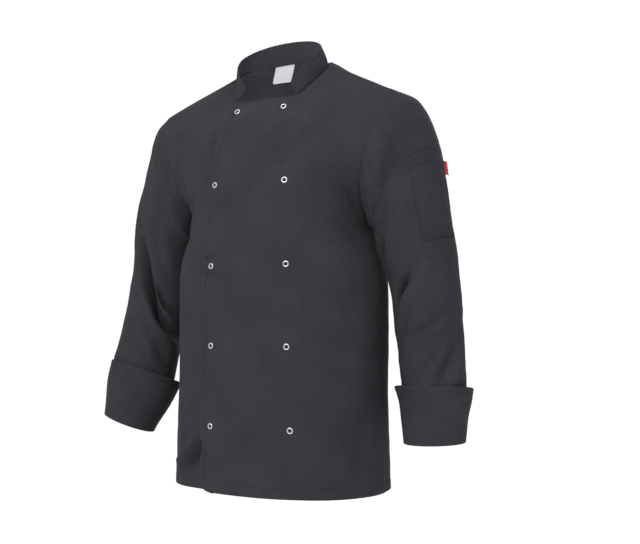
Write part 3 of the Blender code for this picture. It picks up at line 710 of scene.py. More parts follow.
FRONT_CREASES = [
    Crease("swag", [(0.296, -0.208), (0.196, -0.025), (0.179, 0.033), (0.192, 0.217)],
           0.017, -0.0030, 0.5),
    Crease("below the swag", [(0.104, -0.167), (0.070, -0.05), (0.046, 0.058)], 0.020, 0.0042, 0.3),
    Crease("under-panel drag", [(0.045, -0.66), (0.090, -0.50), (0.150, -0.36)],
           0.011, -0.0085, 0.4),
    Crease("below the drag", [(0.024, -0.62), (0.062, -0.47), (0.108, -0.35)], 0.011, 0.0160, 0.4),
    Crease("above the drag", [(0.13, -0.68), (0.17, -0.50), (0.22, -0.37)], 0.016, 0.0035, -0.4),
    Crease("left hip", [(0.20, 0.86), (0.11, 0.79), (0.0, 0.69)], 0.032, 0.0100, 0.5),
    Crease("left side", [(0.22, 0.93), (0.15, 0.94), (0.08, 0.92)], 0.014, 0.0036, -0.3),
    Crease("left waist", [(0.52, 0.76), (0.36, 0.66), (0.20, 0.60)], 0.024, 0.0022, -0.2),
    Crease("right waist", [(0.48, -0.80), (0.32, -0.74), (0.17, -0.80)], 0.022, 0.0034, 0.2),
    Crease("left chest", [(0.66, 0.92), (0.70, 0.70), (0.78, 0.52)], 0.016, 0.0030, 0.3),
    Crease("left chest, lower", [(0.60, 0.95), (0.60, 0.76), (0.635, 0.58)], 0.014, 0.0034, 0.4),
    Crease("left armhole", [(0.73, 0.90), (0.68, 0.91), (0.63, 0.90)], 0.0070, 0.0020, 0.4),
    Crease("right chest", [(0.64, -0.93), (0.67, -0.72), (0.74, -0.55)], 0.016, 0.0032, -0.3),
    Crease("right chest, lower", [(0.585, -0.95), (0.585, -0.78), (0.61, -0.62)],
           0.014, 0.0030, -0.4),
    Crease("right armhole", [(0.80, -0.93), (0.74, -0.89), (0.67, -0.91)], 0.0050, 0.0034, -0.6),
    Crease("right underarm", [(0.73, -0.95), (0.68, -0.94), (0.62, -0.97)], 0.0060, 0.0040, -0.5),
    Crease("left shoulder", [(0.93, 0.70), (0.88, 0.62), (0.84, 0.60)], 0.016, 0.0024, 0.3),
    Crease("facing", [(0.787, 0.442), (0.60, 0.38), (0.438, 0.35), (0.25, 0.352), (0.046, 0.358)],
           0.0040, -0.0017, -0.5),
    Crease("beside a snap", [(0.530, -0.365), (0.536, -0.310), (0.5425, -0.255)],
           0.0044, 0.0056, 0.6),
    Crease("beside it", [(0.515, -0.365), (0.5163, -0.322)], 0.0034, 0.0040, 0.5),
    Crease("below a snap", [(0.4935, -0.362), (0.499, -0.295), (0.5015, -0.235)],
           0.0044, 0.0050, 0.6),
    Crease("above the next", [(0.3465, -0.362), (0.352, -0.275)], 0.0042, 0.0036, 0.6),
]
FRONT_RIPPLES = [Ripple(0.0006, 0.12), Ripple(0.00014, 0.028)]
FRONT_SIDE_ROLL = (0.0001, 0.0022)


def on_front(up, across):
    return on_body(FRONT_FORM, up, across)


PUCKER_PARTS = (0.7, 1.0, 1.3, 2.1)


def pucker(run, pitch, seed):
    """How drawn-up cloth waves along a line of stitching, from about -1 to 1."""
    chance = np.random.default_rng(seed)
    wave = sum(np.sin(2 * np.pi * run / (pitch * part) + chance.uniform(0, 6))
               for part in PUCKER_PARTS)
    return wave / 3


ARMHOLE_FILL = (0.0045, 0.024)   # how far the sleeve head holds the armhole out, and how wide
FILL_FROM = 0.50         # heights above the hem between which it does
FILL_TO = 0.69
FILL_RISE = 0.07
FILL_FORWARD = 0.02      # how far in front of the side it is at its full depth
FILL_WAY = (0.45, -0.89, 0)      # outward and forward


def armhole_fill(points, distance):
    """How the sleeve head pushes the upper front of the armhole out, on both sides of its seam."""
    x, y, z = np.moveaxis(points, -1, 0)
    share = (smooth_step((z - FILL_FROM) / FILL_RISE) * smooth_step((FILL_TO - z) / FILL_RISE)
             * smooth_step(-y / FILL_FORWARD))
    way = np.stack([np.sign(x), np.ones_like(y), np.zeros_like(z)], -1) * FILL_WAY
    return way * (share * furrow(distance, ARMHOLE_FILL))[..., None]


def half_width(up):
    """How long each row of the front form is, from the centre to the side."""
    rows = sample(FRONT_FORM, up[:, None], np.linspace(0, 1, FINE_ACROSS)[None])
    return np.linalg.norm(np.diff(rows, axis=1), axis=2).sum(1)


def share_of_reach(up, reach):
    """How far across the front form its points stand at a distance from the centre."""
    shares = np.linspace(0, 1, FINE_ACROSS)
    return np.array([np.interp(r, sample(FRONT_FORM, u, shares)[:, 0], shares)
                     for u, r in zip(up, reach)])


def snap_depth(grid):
    """How the ring snaps press the left front in round them."""
    depth = np.zeros(grid.shape[:2])
    for snap in SNAPS:
        for x in (-snap.right, snap.left):
            aside, above = grid[..., 0] - x, grid[..., 2] - snap.z
            away = np.hypot(aside, above)
            turned = 100 * x + 40 * snap.z       # differently at each ring
            rays = np.sin(RAYS * np.arctan2(above, aside) + turned)
            depth += furrow(away, SNAP_DISH) + rays * furrow(away - RAYS_AT, SNAP_RAYS)
            if snap is SNAPS[0]:
                depth -= NECK_SNAP_TILT * above * bell(away, TILT_WIDTH)
    return depth


def underlap_depth(up, across):
    """How deep the right front lies under the left one."""
    start, end = UNDERLAP_EASE
    sink = 1 + NECK_SINK * smooth_step((up - SINK_FROM) / (1 - SINK_FROM))
    sink += HEM_SINK * smooth_step(1 - up / HEM_SINK_TO)
    return (CLOTH + LAY_GAP) * smooth_step((end + across) / (end - start)) * sink


def front_grid(left):
    """A front's points, its rows and how far each point is from the free edge."""
    rows = graded(FRONT_LENGTH, BY_HEM, BY_SEAM)
    up = rows / FRONT_LENGTH
    z = sample(FRONT_FORM, up, LAP_SHARE)[:, 2]
    reach = np.interp(z, [row.z for row in LAP], [row.reach for row in LAP])
    reach *= 1 if left else UNDERLAP
    low = np.clip(CORNER - rows, 0, CORNER)
    reach -= CORNER - np.sqrt(CORNER**2 - low**2)
    width = half_width(up)[:, None]
    edge = -share_of_reach(up, reach)[:, None]
    turned = edge + np.linspace(0, BY_EDGE, EDGE_POINTS)[None] / width
    rest = graded(LAPPED_WIDTH, 0, BY_SEAM)[None, 1:] / LAPPED_WIDTH
    across = np.concatenate([turned, turned[:, -1:] + (1 - turned[:, -1:]) * rest], 1)
    from_edge = (across - edge) * width
    if not left:
        across = -across[:, ::-1]
        from_edge = from_edge[:, ::-1]
    up = np.repeat(up[:, None], across.shape[1], 1)
    grid = on_front(up, across)
    normals = outward(grid)
    along = rows[:, None]
    to_side = (1 - np.abs(across)) * width
    to_top = FRONT_LENGTH - along
    depth = crease_depth(grid, normals, FRONT_CREASES, on_front) + rippled(grid, FRONT_RIPPLES, 3)
    depth *= smooth_step(to_side / FLAT_BY_SEAM) * smooth_step(to_top / FLAT_BY_SEAM)
    everywhere, by_snap = EDGE_PULL
    drawn = everywhere + by_snap * sum(bell(along - snap.z, PULL_REACH) for snap in SNAPS[2:])
    depth += drawn * pucker(along, EDGE_PUCKER, 5) * bell(from_edge, EDGE_PUCKER)
    depth += turned_in(along, HEM, HEM_DRAW) + furrow(to_side, FRONT_SIDE_ROLL)
    depth += past_neck(across) * furrow(to_top, SHOULDER_ROLL)
    depth += turned_in(from_edge, EDGE_STITCH, EDGE_DRAW) - furrow(from_edge - SWELL_AT, EDGE_SWELL)
    along_neck = np.abs(across) / NECK_SHARE
    depth += np.where(along_neck > COLLAR_START, 0, furrow(to_top - NECK_STITCH, NECK_DRAW))
    depth += snap_depth(grid) if left else underlap_depth(up, across)
    sewn = smooth_step((along_neck - COLLAR_START) / SEWN_RISE) * (1 - past_neck(across))
    roll = neck_roll(grid, to_top + 0 * across) * sewn[..., None] + armhole_fill(grid, to_side)
    return grid - normals * depth[..., None] + roll, rows, from_edge


def add_front(name, node, left):
    outer, rows, from_edge = front_grid(left)
    panel = add_cloth(name, outer)
    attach(panel, "root")
    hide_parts(node)
    row_numbers = np.arange(len(rows))
    column_numbers = np.arange(outer.shape[1])
    distance = from_edge[len(rows) // 2]
    if not left:
        distance, column_numbers = distance[::-1], column_numbers[::-1]
    stitch_column = np.interp(EDGE_STITCH, distance, column_numbers)
    hem_row = np.interp(HEM, rows, row_numbers)
    neck_row = np.interp(FRONT_LENGTH - NECK_STITCH, rows, row_numbers)
    inner_end = np.interp(NECK_STITCH_RUN, distance, column_numbers)
    upright = grid_line(outer, np.linspace(hem_row, neck_row, 400), stitch_column)
    hem = grid_line(outer, hem_row, np.linspace(stitch_column, column_numbers[-1], 300))
    neck = grid_line(outer, neck_row, np.linspace(stitch_column, inner_end, 120))
    stitching = add_stitching(name + "_stitching", [upright, hem, neck])
    return outer


add_front("right_front", "front_right", left=False)
LEFT_GRID = add_front("left_front", "front_left", left=True)


# The sleeves.  Each is one long piece of twill, sewn into the armhole and closed under the arm.
# They hang almost straight, bent a little at the elbow, and the bend throws the deepest folds.
# An arm form is drawn as a left arm; the right sleeve is its mirror image, held further forward.
SEAM_GAP = 0.0003        # between pieces sewn to each other
SLEEVE_COLUMNS = 150
SLEEVE_LENGTH = 0.52
SLEEVE_ROUND = 0.38      # its girth at the elbow
FINE_ROUND = 145         # points round each ring of its form
CUFF_COVERS = 0.84       # share of the sleeve's length from which the cuff hides it
COVERED = 0.03           # share over which its creases end there, and how far it lies in
COVERED_SINK = 0.0005
SLEEVE_RIPPLES = [Ripple(0.0008, 0.075), Ripple(0.00018, 0.022)]
UNDERARM_ROLL = (0.0008, 0.0020)

# Rings of the arm form.  Along and across are half their widths, turn is how far those are turned
# from straight left and back, and tilt and pitch are how far the ring tips up there, in degrees.
Ring = namedtuple("Ring", "name x y z along across turn tilt pitch")
UPPER_ARM = [
    Ring("head", 0.2207, 0.007, 0.5622, 0.0870, 0.1197, 90, 71.1, 0),
    Ring("cap", 0.2348, 0.010, 0.530, 0.0738, 0.1045, 92, 61, 0),
    Ring("biceps", 0.2504, 0.003, 0.471, 0.0690, 0.0745, 100, 38, 0),
]
LEFT_FOREARM = [
    Ring("elbow", 0.2673, 0.0115, 0.370, 0.0627, 0.0600, 120, 8, 0),
    Ring("forearm", 0.2785, 0.0090, 0.260, 0.0632, 0.0560, 130, 6, 0),
    Ring("wrist", 0.2865, 0.0020, 0.185, 0.0627, 0.0517, 135, 6, 0),
    Ring("end", 0.2956, -0.0257, 0.0937, 0.0525, 0.0488, 139, 3.1, 1.1),
]
RIGHT_FOREARM = [
    Ring("elbow", 0.2663, 0.0065, 0.370, 0.0620, 0.0612, 120, 9, 4),
    Ring("forearm", 0.2770, -0.0172, 0.262, 0.0576, 0.0538, 130, 11, 9),
    Ring("wrist", 0.2805, -0.0383, 0.185, 0.0601, 0.0522, 130, 12, 13),
    Ring("end", 0.2889, -0.0664, 0.1018, 0.0471, 0.0457, 130, 18.8, 10.4),
]
LEFT_CREASES = [
    Crease("inner elbow", [(0.425, 76), (0.460, 97), (0.495, 114), (0.522, 125), (0.552, 135),
                           (0.60, 150)], 0.0095, 0.0085, 0.7),
    Crease("its fold", [(0.466, 101), (0.495, 114), (0.522, 125), (0.552, 135), (0.585, 146)],
           0.0054, 0.0140, 0.3),
    Crease("inside the underarm", [(0.295, 130), (0.340, 144), (0.385, 156)],
           0.0060, 0.0070, 0.4),
    Crease("below it", [(0.60, 112), (0.65, 132), (0.69, 160)], 0.011, 0.0060, 0.6),
    Crease("forearm", [(0.58, 38), (0.633, 77), (0.662, 106)], 0.0080, 0.0066, 0.7),
    Crease("forearm, lower", [(0.690, 54), (0.748, 84), (0.790, 119)], 0.0080, 0.0070, 0.7),
    Crease("wide trough", [(0.670, 18), (0.755, 46), (0.825, 68)], 0.012, 0.0090, 0.6),
    Crease("armhole", [(0.026, 96), (0.060, 112), (0.100, 128)], 0.0060, 0.0050, 0.6),
    Crease("from the head", [(0.02, 66), (0.09, 84), (0.16, 96)], 0.010, 0.0026, -0.5),
    Crease("beside it", [(0.03, 48), (0.11, 66), (0.20, 82)], 0.012, 0.0022, 0.5),
    Crease("underarm", [(0.10, 112), (0.17, 126), (0.26, 132)], 0.012, 0.0050, 0.5),
    Crease("inner arm", [(0.20, 104), (0.30, 108), (0.40, 120)], 0.012, 0.0048, -0.5),
    Crease("below the pocket", [(0.400, 66), (0.418, 56), (0.428, 44)], 0.007, 0.0036, 0.6),
    Crease("outer head", [(0.03, 352), (0.13, 338), (0.27, 330)], 0.030, -0.0062),
    Crease("outer arm", [(0.30, 332), (0.45, 334), (0.62, 338)], 0.026, -0.0026),
    Crease("back of the elbow", [(0.50, 262), (0.53, 292), (0.555, 322)], 0.013, 0.0070, 0.6),
    Crease("above the elbow", [(0.40, 250), (0.44, 286), (0.45, 316)], 0.013, 0.0052, -0.5),
    Crease("back underarm", [(0.06, 228), (0.17, 236), (0.30, 250)], 0.013, 0.0056, 0.5),
    Crease("back of the forearm", [(0.64, 232), (0.70, 268), (0.79, 290)], 0.013, 0.0054, -0.5),
    Crease("inside", [(0.34, 176), (0.42, 196), (0.50, 224)], 0.014, 0.0050, 0.5),
]
RIGHT_CREASES = [
    Crease("long drag", [(0.24, 50), (0.328, 72), (0.400, 85), (0.485, 98), (0.540, 113),
                         (0.598, 133), (0.630, 155), (0.665, 200)], 0.0125, 0.0110, 0.7),
    Crease("its fold", [(0.33, 72), (0.400, 85), (0.485, 98), (0.540, 113), (0.598, 133),
                        (0.630, 155), (0.655, 184)], 0.0060, 0.0280, 0.4),
    Crease("beside it", [(0.47, 110), (0.522, 124), (0.547, 138), (0.565, 153), (0.590, 184)],
           0.0090, 0.0080, 0.5),
    Crease("its fold", [(0.50, 118), (0.522, 124), (0.547, 138), (0.565, 153), (0.588, 180)],
           0.0055, 0.0170, 0.3),
    Crease("above it", [(0.24, 96), (0.34, 112), (0.43, 128)], 0.010, 0.0052, -0.5),
    Crease("armhole", [(0.012, 54), (0.016, 84), (0.022, 112)], 0.0050, 0.0042, -0.5),
    Crease("forearm", [(0.655, 74), (0.70, 98), (0.735, 122)], 0.012, 0.0056, 0.5),
    Crease("inner wrist", [(0.68, 130), (0.71, 148), (0.76, 170)], 0.012, 0.0056, 0.5),
    Crease("upper forearm", [(0.60, 104), (0.645, 120), (0.67, 140)], 0.010, 0.0042, -0.4),
    Crease("shoulder", [(0.06, 40), (0.035, 76), (0.006, 108)], 0.010, 0.0026, 0.5),
    Crease("shoulder, lower", [(0.11, 52), (0.085, 84), (0.05, 110)], 0.011, 0.0026, 0.4),
    Crease("underarm", [(0.10, 98), (0.20, 106), (0.32, 114)], 0.013, 0.0056, -0.4),
    Crease("back of the elbow", [(0.49, 250), (0.52, 284), (0.55, 318)], 0.013, 0.0072, 0.6),
    Crease("above the elbow", [(0.39, 244), (0.42, 276), (0.44, 306)], 0.013, 0.0052, -0.5),
    Crease("back underarm", [(0.06, 230), (0.18, 238), (0.31, 252)], 0.013, 0.0056, 0.5),
    Crease("back of the forearm", [(0.62, 240), (0.70, 270), (0.77, 300)], 0.013, 0.0054, -0.5),
]


def armhole(around):
    """The left armhole by degrees: 0 at the shoulder tip, 90 in front, 180 underarm, 270 behind."""
    shares = np.linspace(0, 1, FINE_UP)
    halves = []
    for form in (FRONT_FORM, BACK_FORM):
        start = np.argmin(np.abs(form[:, -1, 2] - FRONT[UNDERARM].z_side))
        halves.append(spread(form[start:, -1], shares))
    front, behind = halves
    loop = np.concatenate([front[::-1], behind[1:]])
    return on_line(loop, np.linspace(0, 360, len(loop)), around)


def arm_ring(ring, around):
    angle = np.radians(around)
    turn = np.radians(ring.turn)
    tilt = np.radians(ring.tilt)
    right, back = np.cos(angle), -np.sin(angle)
    along = (right * np.cos(turn) + back * np.sin(turn)) / ring.along
    across = (back * np.cos(turn) - right * np.sin(turn)) / ring.across
    radius = 1 / np.hypot(along, across)
    pitch = np.radians(ring.pitch)
    return np.stack([ring.x + radius * right * np.cos(tilt), ring.y + radius * back * np.cos(pitch),
                     ring.z + radius * (right * np.sin(tilt) - back * np.sin(pitch))], -1)


def arm_form(rings):
    around = np.linspace(0, 360, FINE_ROUND)
    start = armhole(around) + np.array([SEAM_GAP, 0, 0])
    return loft([start] + [arm_ring(ring, around) for ring in rings])


LEFT_ARM = arm_form(UPPER_ARM + LEFT_FOREARM)
RIGHT_ARM = arm_form(UPPER_ARM + RIGHT_FOREARM)


def on_arm(form, down, around):
    return sample(form, down, np.mod(around, 360) / 360)


def sleeve_grid(form, creases, seed):
    """The sleeve's outer points, from its armhole down to where it folds back into the cuff."""
    length = graded(SLEEVE_LENGTH, BY_SEAM, 0)[:, None]
    down = length / SLEEVE_LENGTH
    around = np.arange(SLEEVE_COLUMNS)[None] * 360 / SLEEVE_COLUMNS
    grid = on_arm(form, down, around)
    normals = outward(grid, around=True)
    depth = crease_depth(grid, normals, creases, lambda u, a: on_arm(form, u, a))
    depth += rippled(grid, SLEEVE_RIPPLES, seed)
    depth *= smooth_step(length / FLAT_BY_SEAM)
    covered = smooth_step((down - CUFF_COVERS) / COVERED)
    depth = depth * (1 - covered) + COVERED_SINK * covered
    depth += furrow(np.abs(around - 180) / 360 * SLEEVE_ROUND, UNDERARM_ROLL)
    return grid - normals * depth[..., None] + armhole_fill(grid, length)


def mirrored(grid):
    return grid[:, ::-1] * np.array([-1, 1, 1])


SLEEVE_SINK = 0.0020     # how far its seam allowance drops inside the armhole, how long it is,
SLEEVE_TUCK = 0.0030     # and how far it leans in along that
SLEEVE_LEAN = 0.0008


def with_allowance(grid):
    """The sleeve with its seam allowance, which lies inside the panels round the armhole."""
    edge = grid[0]
    inward = unit((edge.mean(0) - edge) * np.array([0, 1, 1]))
    wall = edge + inward * SLEEVE_SINK
    under = np.array([-SLEEVE_TUCK * np.sign(edge[0, 0]), 0, 0])
    return np.concatenate([[wall + inward * SLEEVE_LEAN + under], [wall], grid])


def add_sleeve(name, node, grid):
    sleeve = add_cloth(name, with_allowance(grid), around=True)
    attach(sleeve, "root")
    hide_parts(node)


LEFT_SLEEVE = sleeve_grid(LEFT_ARM, LEFT_CREASES, 11)
add_sleeve("left_sleeve", "sleeve_left", LEFT_SLEEVE)
add_sleeve("right_sleeve", "sleeve_right", mirrored(sleeve_grid(RIGHT_ARM, RIGHT_CREASES, 13)))


# The cuffs.  Each is the end of the sleeve turned back on itself in a soft fold, slit behind the
# wrist, with its free edge hemmed and its corners standing away beside the slit.
CUFF_SPAN = 0.2          # share of the arm over which a cuff's height is measured
SLIT = 270               # degrees round the arm, and half the slit's width there
SLIT_HALF_TOP = 9.0
SLIT_HALF_END = 1.5
WING_DROP = 0.008        # how much lower the free edge is beside the slit
WING_WIDTH = 1.2         # powers that shape the wings beside it and the cuff's flare
FLARE_CURVE = 1.3
CUFF_ROUND = 0.36        # its girth
CUFF_STITCH = 0.010      # from the free edge down to its stitching, and the furrow along it
CUFF_DRAW = (0.0004, 0.0014)
CUFF_PROUD = 0.0003
CUFF_RIPPLE = Ripple(0.0015, 0.06)
CUFF_STILL = 0.2         # share of its height above the fold up to which ripples grow
CUFF_PUCKER = (0.0003, 0.014)    # the height of its edge's puckers, how far in they reach,
CUFF_PITCH = 0.012       # and their spacing
CUFF_FOLD = 0.0016       # radius of the fold at the sleeve's end
CUFF_BACK = (0.002, 0.004)       # how far its last rows run back up inside the sleeve
CUFF_END = (0.97, 0.985, 1.0)    # places on the arm form that give the fold its direction

# Each cuff's height, how far its free edge stands off the sleeve all round and more beside the
# slit, and how far that edge dips, with the middle and the spread of the dip in degrees
Cuff = namedtuple("Cuff", "height flare wing_flare dip dip_at dip_width")
LEFT_CUFF = Cuff(0.0918, 0.001, 0.0200, -0.007, 163, 80)
RIGHT_CUFF = Cuff(0.1057, 0.001, 0.0158, 0.003, 7, 69)


def cuff_grid(form, cuff, seed):
    """From the cuff's free edge down over the fold to a little way inside the sleeve."""
    heights = graded(cuff.height, start=0.004, stop=0.014)[::-1]
    climb = (heights / cuff.height)[:, None]
    half = SLIT_HALF_END + (SLIT_HALF_TOP - SLIT_HALF_END) * climb
    run = graded(CUFF_ROUND, start=0.008, stop=0.008)[None]
    around = SLIT - 360 + half + (360 - 2 * half) * run / CUFF_ROUND
    span = np.linalg.norm(on_arm(form, 1, around) - on_arm(form, 1 - CUFF_SPAN, around), axis=2)
    wing = ((1 + np.cos(np.radians(around - SLIT))) / 2)**WING_WIDTH
    off = (around - cuff.dip_at + 180) % 360 - 180
    tall = cuff.height - WING_DROP * wing - cuff.dip * bell(off, cuff.dip_width)
    grid = on_arm(form, 1 - climb * tall / span * CUFF_SPAN, around)
    normals = outward(grid)
    from_top = (1 - climb) * cuff.height
    lively = climb * smooth_step(climb / CUFF_STILL)
    stand_off = CLOTH + SEAM_GAP + climb**FLARE_CURVE * (cuff.flare + cuff.wing_flare * wing)
    stand_off += lively * rippled(grid, [CUFF_RIPPLE], seed)
    stand_off -= turned_in(from_top, CUFF_STITCH, CUFF_DRAW, CUFF_PROUD)
    stand_off += pucker(run, CUFF_PITCH, seed + 1) * furrow(from_top, CUFF_PUCKER)
    outer = grid + normals * stand_off[..., None]
    end_rows = on_arm(form, np.array(CUFF_END)[:, None], around[-1][None])
    end = end_rows[-1]
    out = outward(end_rows)[-1]
    down = unit(end - end_rows[-2])
    fold = [end + out * (CLOTH + SEAM_GAP - CUFF_FOLD + CUFF_FOLD * np.cos(turn))
            + down * CUFF_FOLD * np.sin(turn) for turn in np.radians([25, 55, 90, 125, 155, 180])]
    fold += [fold[-1] - down * back for back in CUFF_BACK]
    return np.concatenate([outer, np.array(fold)]), heights


def add_cuff(name, node, form, cuff, left, seed):
    grid, heights = cuff_grid(form, cuff, seed)
    stitch_row = np.interp(CUFF_STITCH, cuff.height - heights, np.arange(len(heights)))
    if not left:
        grid = mirrored(grid)
    band = add_cloth(name, grid)
    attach(band, "root")
    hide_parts(node)
    stitching = add_stitching(name + "_stitching", [
        grid_line(grid, stitch_row, np.linspace(5, grid.shape[1] - 6, 400))])


add_cuff("left_cuff", "cuff_left", LEFT_ARM, LEFT_CUFF, True, 21)
add_cuff("right_cuff", "cuff_right", RIGHT_ARM, RIGHT_CUFF, False, 23)


# The sleeve pocket.  A patch of twill sewn round three sides to the outside of the left sleeve,
# open along its hemmed top edge, with a plain red tape tab caught in its back seam.
Side = namedtuple("Side", "around top bottom")     # degrees, and shares of the sleeve's length
POCKET_FRONT = Side(58, 0.153, 0.374)
POCKET_BACK = Side(-8, 0.200, 0.368)
POCKET_LEAN = 7          # degrees further forward at its bottom
POCKET_TALL = 0.150
POCKET_WIDE = 0.085
POCKET_ROWS = 0.0028     # spacing of its points down and across
POCKET_COLUMNS = 0.0024
POCKET_HEM = 0.020       # from the top edge down to the hem's stitching, and its furrow
POCKET_HEM_DRAW = (0.0005, 0.0014)
POCKET_PROUD = 0.0003
POCKET_EDGE = 0.003      # from the edge in to its stitching, and its furrow
POCKET_EDGE_DRAW = (0.0003, 0.0012)
POCKET_GAP = 0.0005
POCKET_PUFF = (0.0013, 0.022)    # how far its middle stands off the sleeve, and over what it rises
POCKET_GAPE = (0.0008, 0.03)     # how far its open top does, and down to where
POCKET_PUCKER = (0.0007, 0.008)  # the height and spread of its puckers, and their spacing
POCKET_PITCH = 0.017
POCKET_RIPPLE = Ripple(0.0006, 0.05)
POCKET_HELD = 0.02       # how far from its seams it gapes and ripples freely


def pocket_grid():
    share = graded(POCKET_WIDE, start=0.008, stop=0.008, step=POCKET_COLUMNS) / POCKET_WIDE
    tall = graded(POCKET_TALL, start=0.024, stop=0.008, step=POCKET_ROWS) / POCKET_TALL
    around, top, bottom = (back + (front - back) * share
                           for back, front in zip(POCKET_BACK, POCKET_FRONT))
    down = top + (bottom - top) * tall[:, None]
    closed = np.concatenate([LEFT_SLEEVE, LEFT_SLEEVE[:, :1]], 1)
    rows = graded(SLEEVE_LENGTH, BY_SEAM, 0) / SLEEVE_LENGTH
    at = np.interp(down, rows, np.linspace(0, 1, len(rows)))
    patch = sample(closed, at, np.mod(around + POCKET_LEAN * tall[:, None], 360) / 360)
    to_side = np.minimum(share, 1 - share)[None] * POCKET_WIDE
    to_top = (tall * POCKET_TALL)[:, None]
    edge = np.minimum(to_side, POCKET_TALL - to_top)
    puff, puff_rise = POCKET_PUFF
    gape, gape_to = POCKET_GAPE
    lift = CLOTH + POCKET_GAP + puff * smooth_step((edge - POCKET_EDGE) / puff_rise)
    lift += gape * smooth_step(1 - to_top / gape_to) * smooth_step(to_side / POCKET_HELD)
    lift -= furrow(edge - POCKET_EDGE, POCKET_EDGE_DRAW)
    lift -= turned_in(to_top, POCKET_HEM, POCKET_HEM_DRAW, POCKET_PROUD)
    lift += pucker(to_top, POCKET_PITCH, 31) * furrow(to_side - 2 * POCKET_EDGE, POCKET_PUCKER)
    lift += rippled(patch, [POCKET_RIPPLE], 32) * smooth_step(edge / POCKET_HELD)
    return patch + outward(patch) * lift[..., None], share, tall


POCKET_GRID, POCKET_SHARE, POCKET_DOWN = pocket_grid()
pocket = add_cloth("sleeve_pocket_patch", POCKET_GRID)
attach(pocket, "root")
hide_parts("sleeve_pocket")
pocket_rows = np.arange(len(POCKET_DOWN))
pocket_columns = np.arange(len(POCKET_SHARE))
inset = POCKET_EDGE / POCKET_WIDE
edge_back, edge_front = np.interp([inset, 1 - inset], POCKET_SHARE, pocket_columns)
edge_bottom = np.interp(1 - POCKET_EDGE / POCKET_TALL, POCKET_DOWN, pocket_rows)
hem_at = np.interp(POCKET_HEM / POCKET_TALL, POCKET_DOWN, pocket_rows)
pocket_stitching = add_stitching("sleeve_pocket_stitching", [
    grid_line(POCKET_GRID, np.linspace(0.5, edge_bottom, 120), edge_back),
    grid_line(POCKET_GRID, edge_bottom, np.linspace(edge_back, edge_front, 80)),
    grid_line(POCKET_GRID, np.linspace(edge_bottom, 0.5, 120), edge_front),
    grid_line(POCKET_GRID, hem_at, np.linspace(edge_back, edge_front, 80))])

TAB = (0.007, 0.026)     # its reach out of the seam and its height
TAB_DROP = 0.0015        # from the pocket's top edge down to it
TAB_LIFT = 0.8           # how steeply it stands away from the sleeve
TAB_CURL = 0.0006
TAPE = 0.0009            # its doubled thickness
TAPE_RIB = 0.0009        # spacing of its ribs
# the tape's red at its darkest and lightest; the ribs' troughs take the darker, as painted shade
TAPE_DARK = (0.40, 0.012, 0.020)
TAPE_LIGHT = (0.66, 0.045, 0.060)


def tape_material():
    """Red ribbed tape, darker in the troughs of its ribs as painted shade, and unevenly toned."""
    made, shader, wires = new_material("red_tape", Sheen_Weight=0.3, Specular_IOR_Level=0.3)
    flat = wires.cloth()
    # The ribs' wave, which also raises the bump, darkens the colour in their troughs: painted
    # shade.
    ribs = (flat.part(1) * (2 * np.pi / TAPE_RIB)).sine() * 0.5 + 0.5
    # The noise is the tape's own uneven tone.
    shade = flat.noise(700, 2.0) * 0.5 + ribs * 0.5
    feed(shader, "Base Color", shade.blend(TAPE_DARK, TAPE_LIGHT))
    feed(shader, "Roughness", shade * 0.15 + 0.55)
    feed(shader, "Normal", ribs.relief(0.5, 0.0002))
    return made


def tab_grid():
    """The tape is folded double, with its fold standing out of the pocket's back seam."""
    reach, height = TAB
    edge, normals = grid_line(POCKET_GRID, pocket_rows, 0.0)
    inward = grid_line(POCKET_GRID, pocket_rows, 1.0)[0]
    run = lengths(edge)
    rows = []
    along = np.linspace(1, -0.1, 9)[:, None]
    for drop in np.linspace(TAB_DROP, TAB_DROP + height, 14):
        start = on_line(edge, run, drop)
        out = on_line(normals, run, drop)
        away = unit(unit(start - on_line(inward, run, drop)) + TAB_LIFT * out)
        rows.append(start + away * along * reach + out * TAB_CURL * np.sin(np.pi * along))
    return np.array(rows)


tab = add_cloth("pocket_side_tab", tab_grid(), thickness=TAPE, finish=tape_material())
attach(tab, "root")
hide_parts("pocket_tab")


# The collar.  A low stand of two layers of twill, turned out, stitched round its edge and sewn to
# the neck seam.  Its square ends stop short of the centre front, and it leans in round the neck.
COLLAR_CLOTH = 0.0020
COLLAR_RUN = 0.44        # its length and its height at the back, over which its points are
COLLAR_TALL = 0.034      # spaced, and its height on the average
COLLAR_MEAN = 0.033
COLLAR_POINTS = 0.0026   # their spacing along it and up it
COLLAR_ROWS = 0.0024
COLLAR_CORNER = 0.005    # radius of its upper corners
COLLAR_EDGE = 0.005      # from the edge in to its stitching, and its furrow
COLLAR_DRAW = (0.0004, 0.0013)
COLLAR_BULGE = 0.0011
COLLAR_RIPPLE = Ripple(0.00055, 0.05)
COLLAR_STILL = 0.3       # share of its height up to which ripples grow
COLLAR_PUCKER = (0.00022, 0.008)     # height and spread of its edge's puckers, and their spacing
COLLAR_PITCH = 0.011
COLLAR_TUCK = 0.0016     # its seam allowance, which lies down inside the panels


def neck_values(angle, column):
    """A column of the neck table at angles in degrees, the same on both sides."""
    table = NECK[::-1] + NECK[1:]
    angles = [-row.angle for row in NECK[::-1]] + [row.angle for row in NECK[1:]]
    return through(angles, [getattr(row, column) for row in table], angle)


def collar_seam():
    """The neck seam from the collar's left end round the back, and its places in the neck table."""
    front = np.linspace(COLLAR_START, 1, FINE_ACROSS)
    behind = np.linspace(0, 1, FINE_ACROSS)[1:]
    half = np.concatenate([top_edge(NECK_SHARE * front, False),
                           top_edge(NECK_SHARE * (1 - behind), True)])
    angle = np.r_[NECK_POINT * front, NECK_POINT + (180 - NECK_POINT) * behind]
    other = half[-2::-1] * np.array([-1, 1, 1])
    return np.concatenate([half, other]), np.r_[angle, angle[-2::-1]]


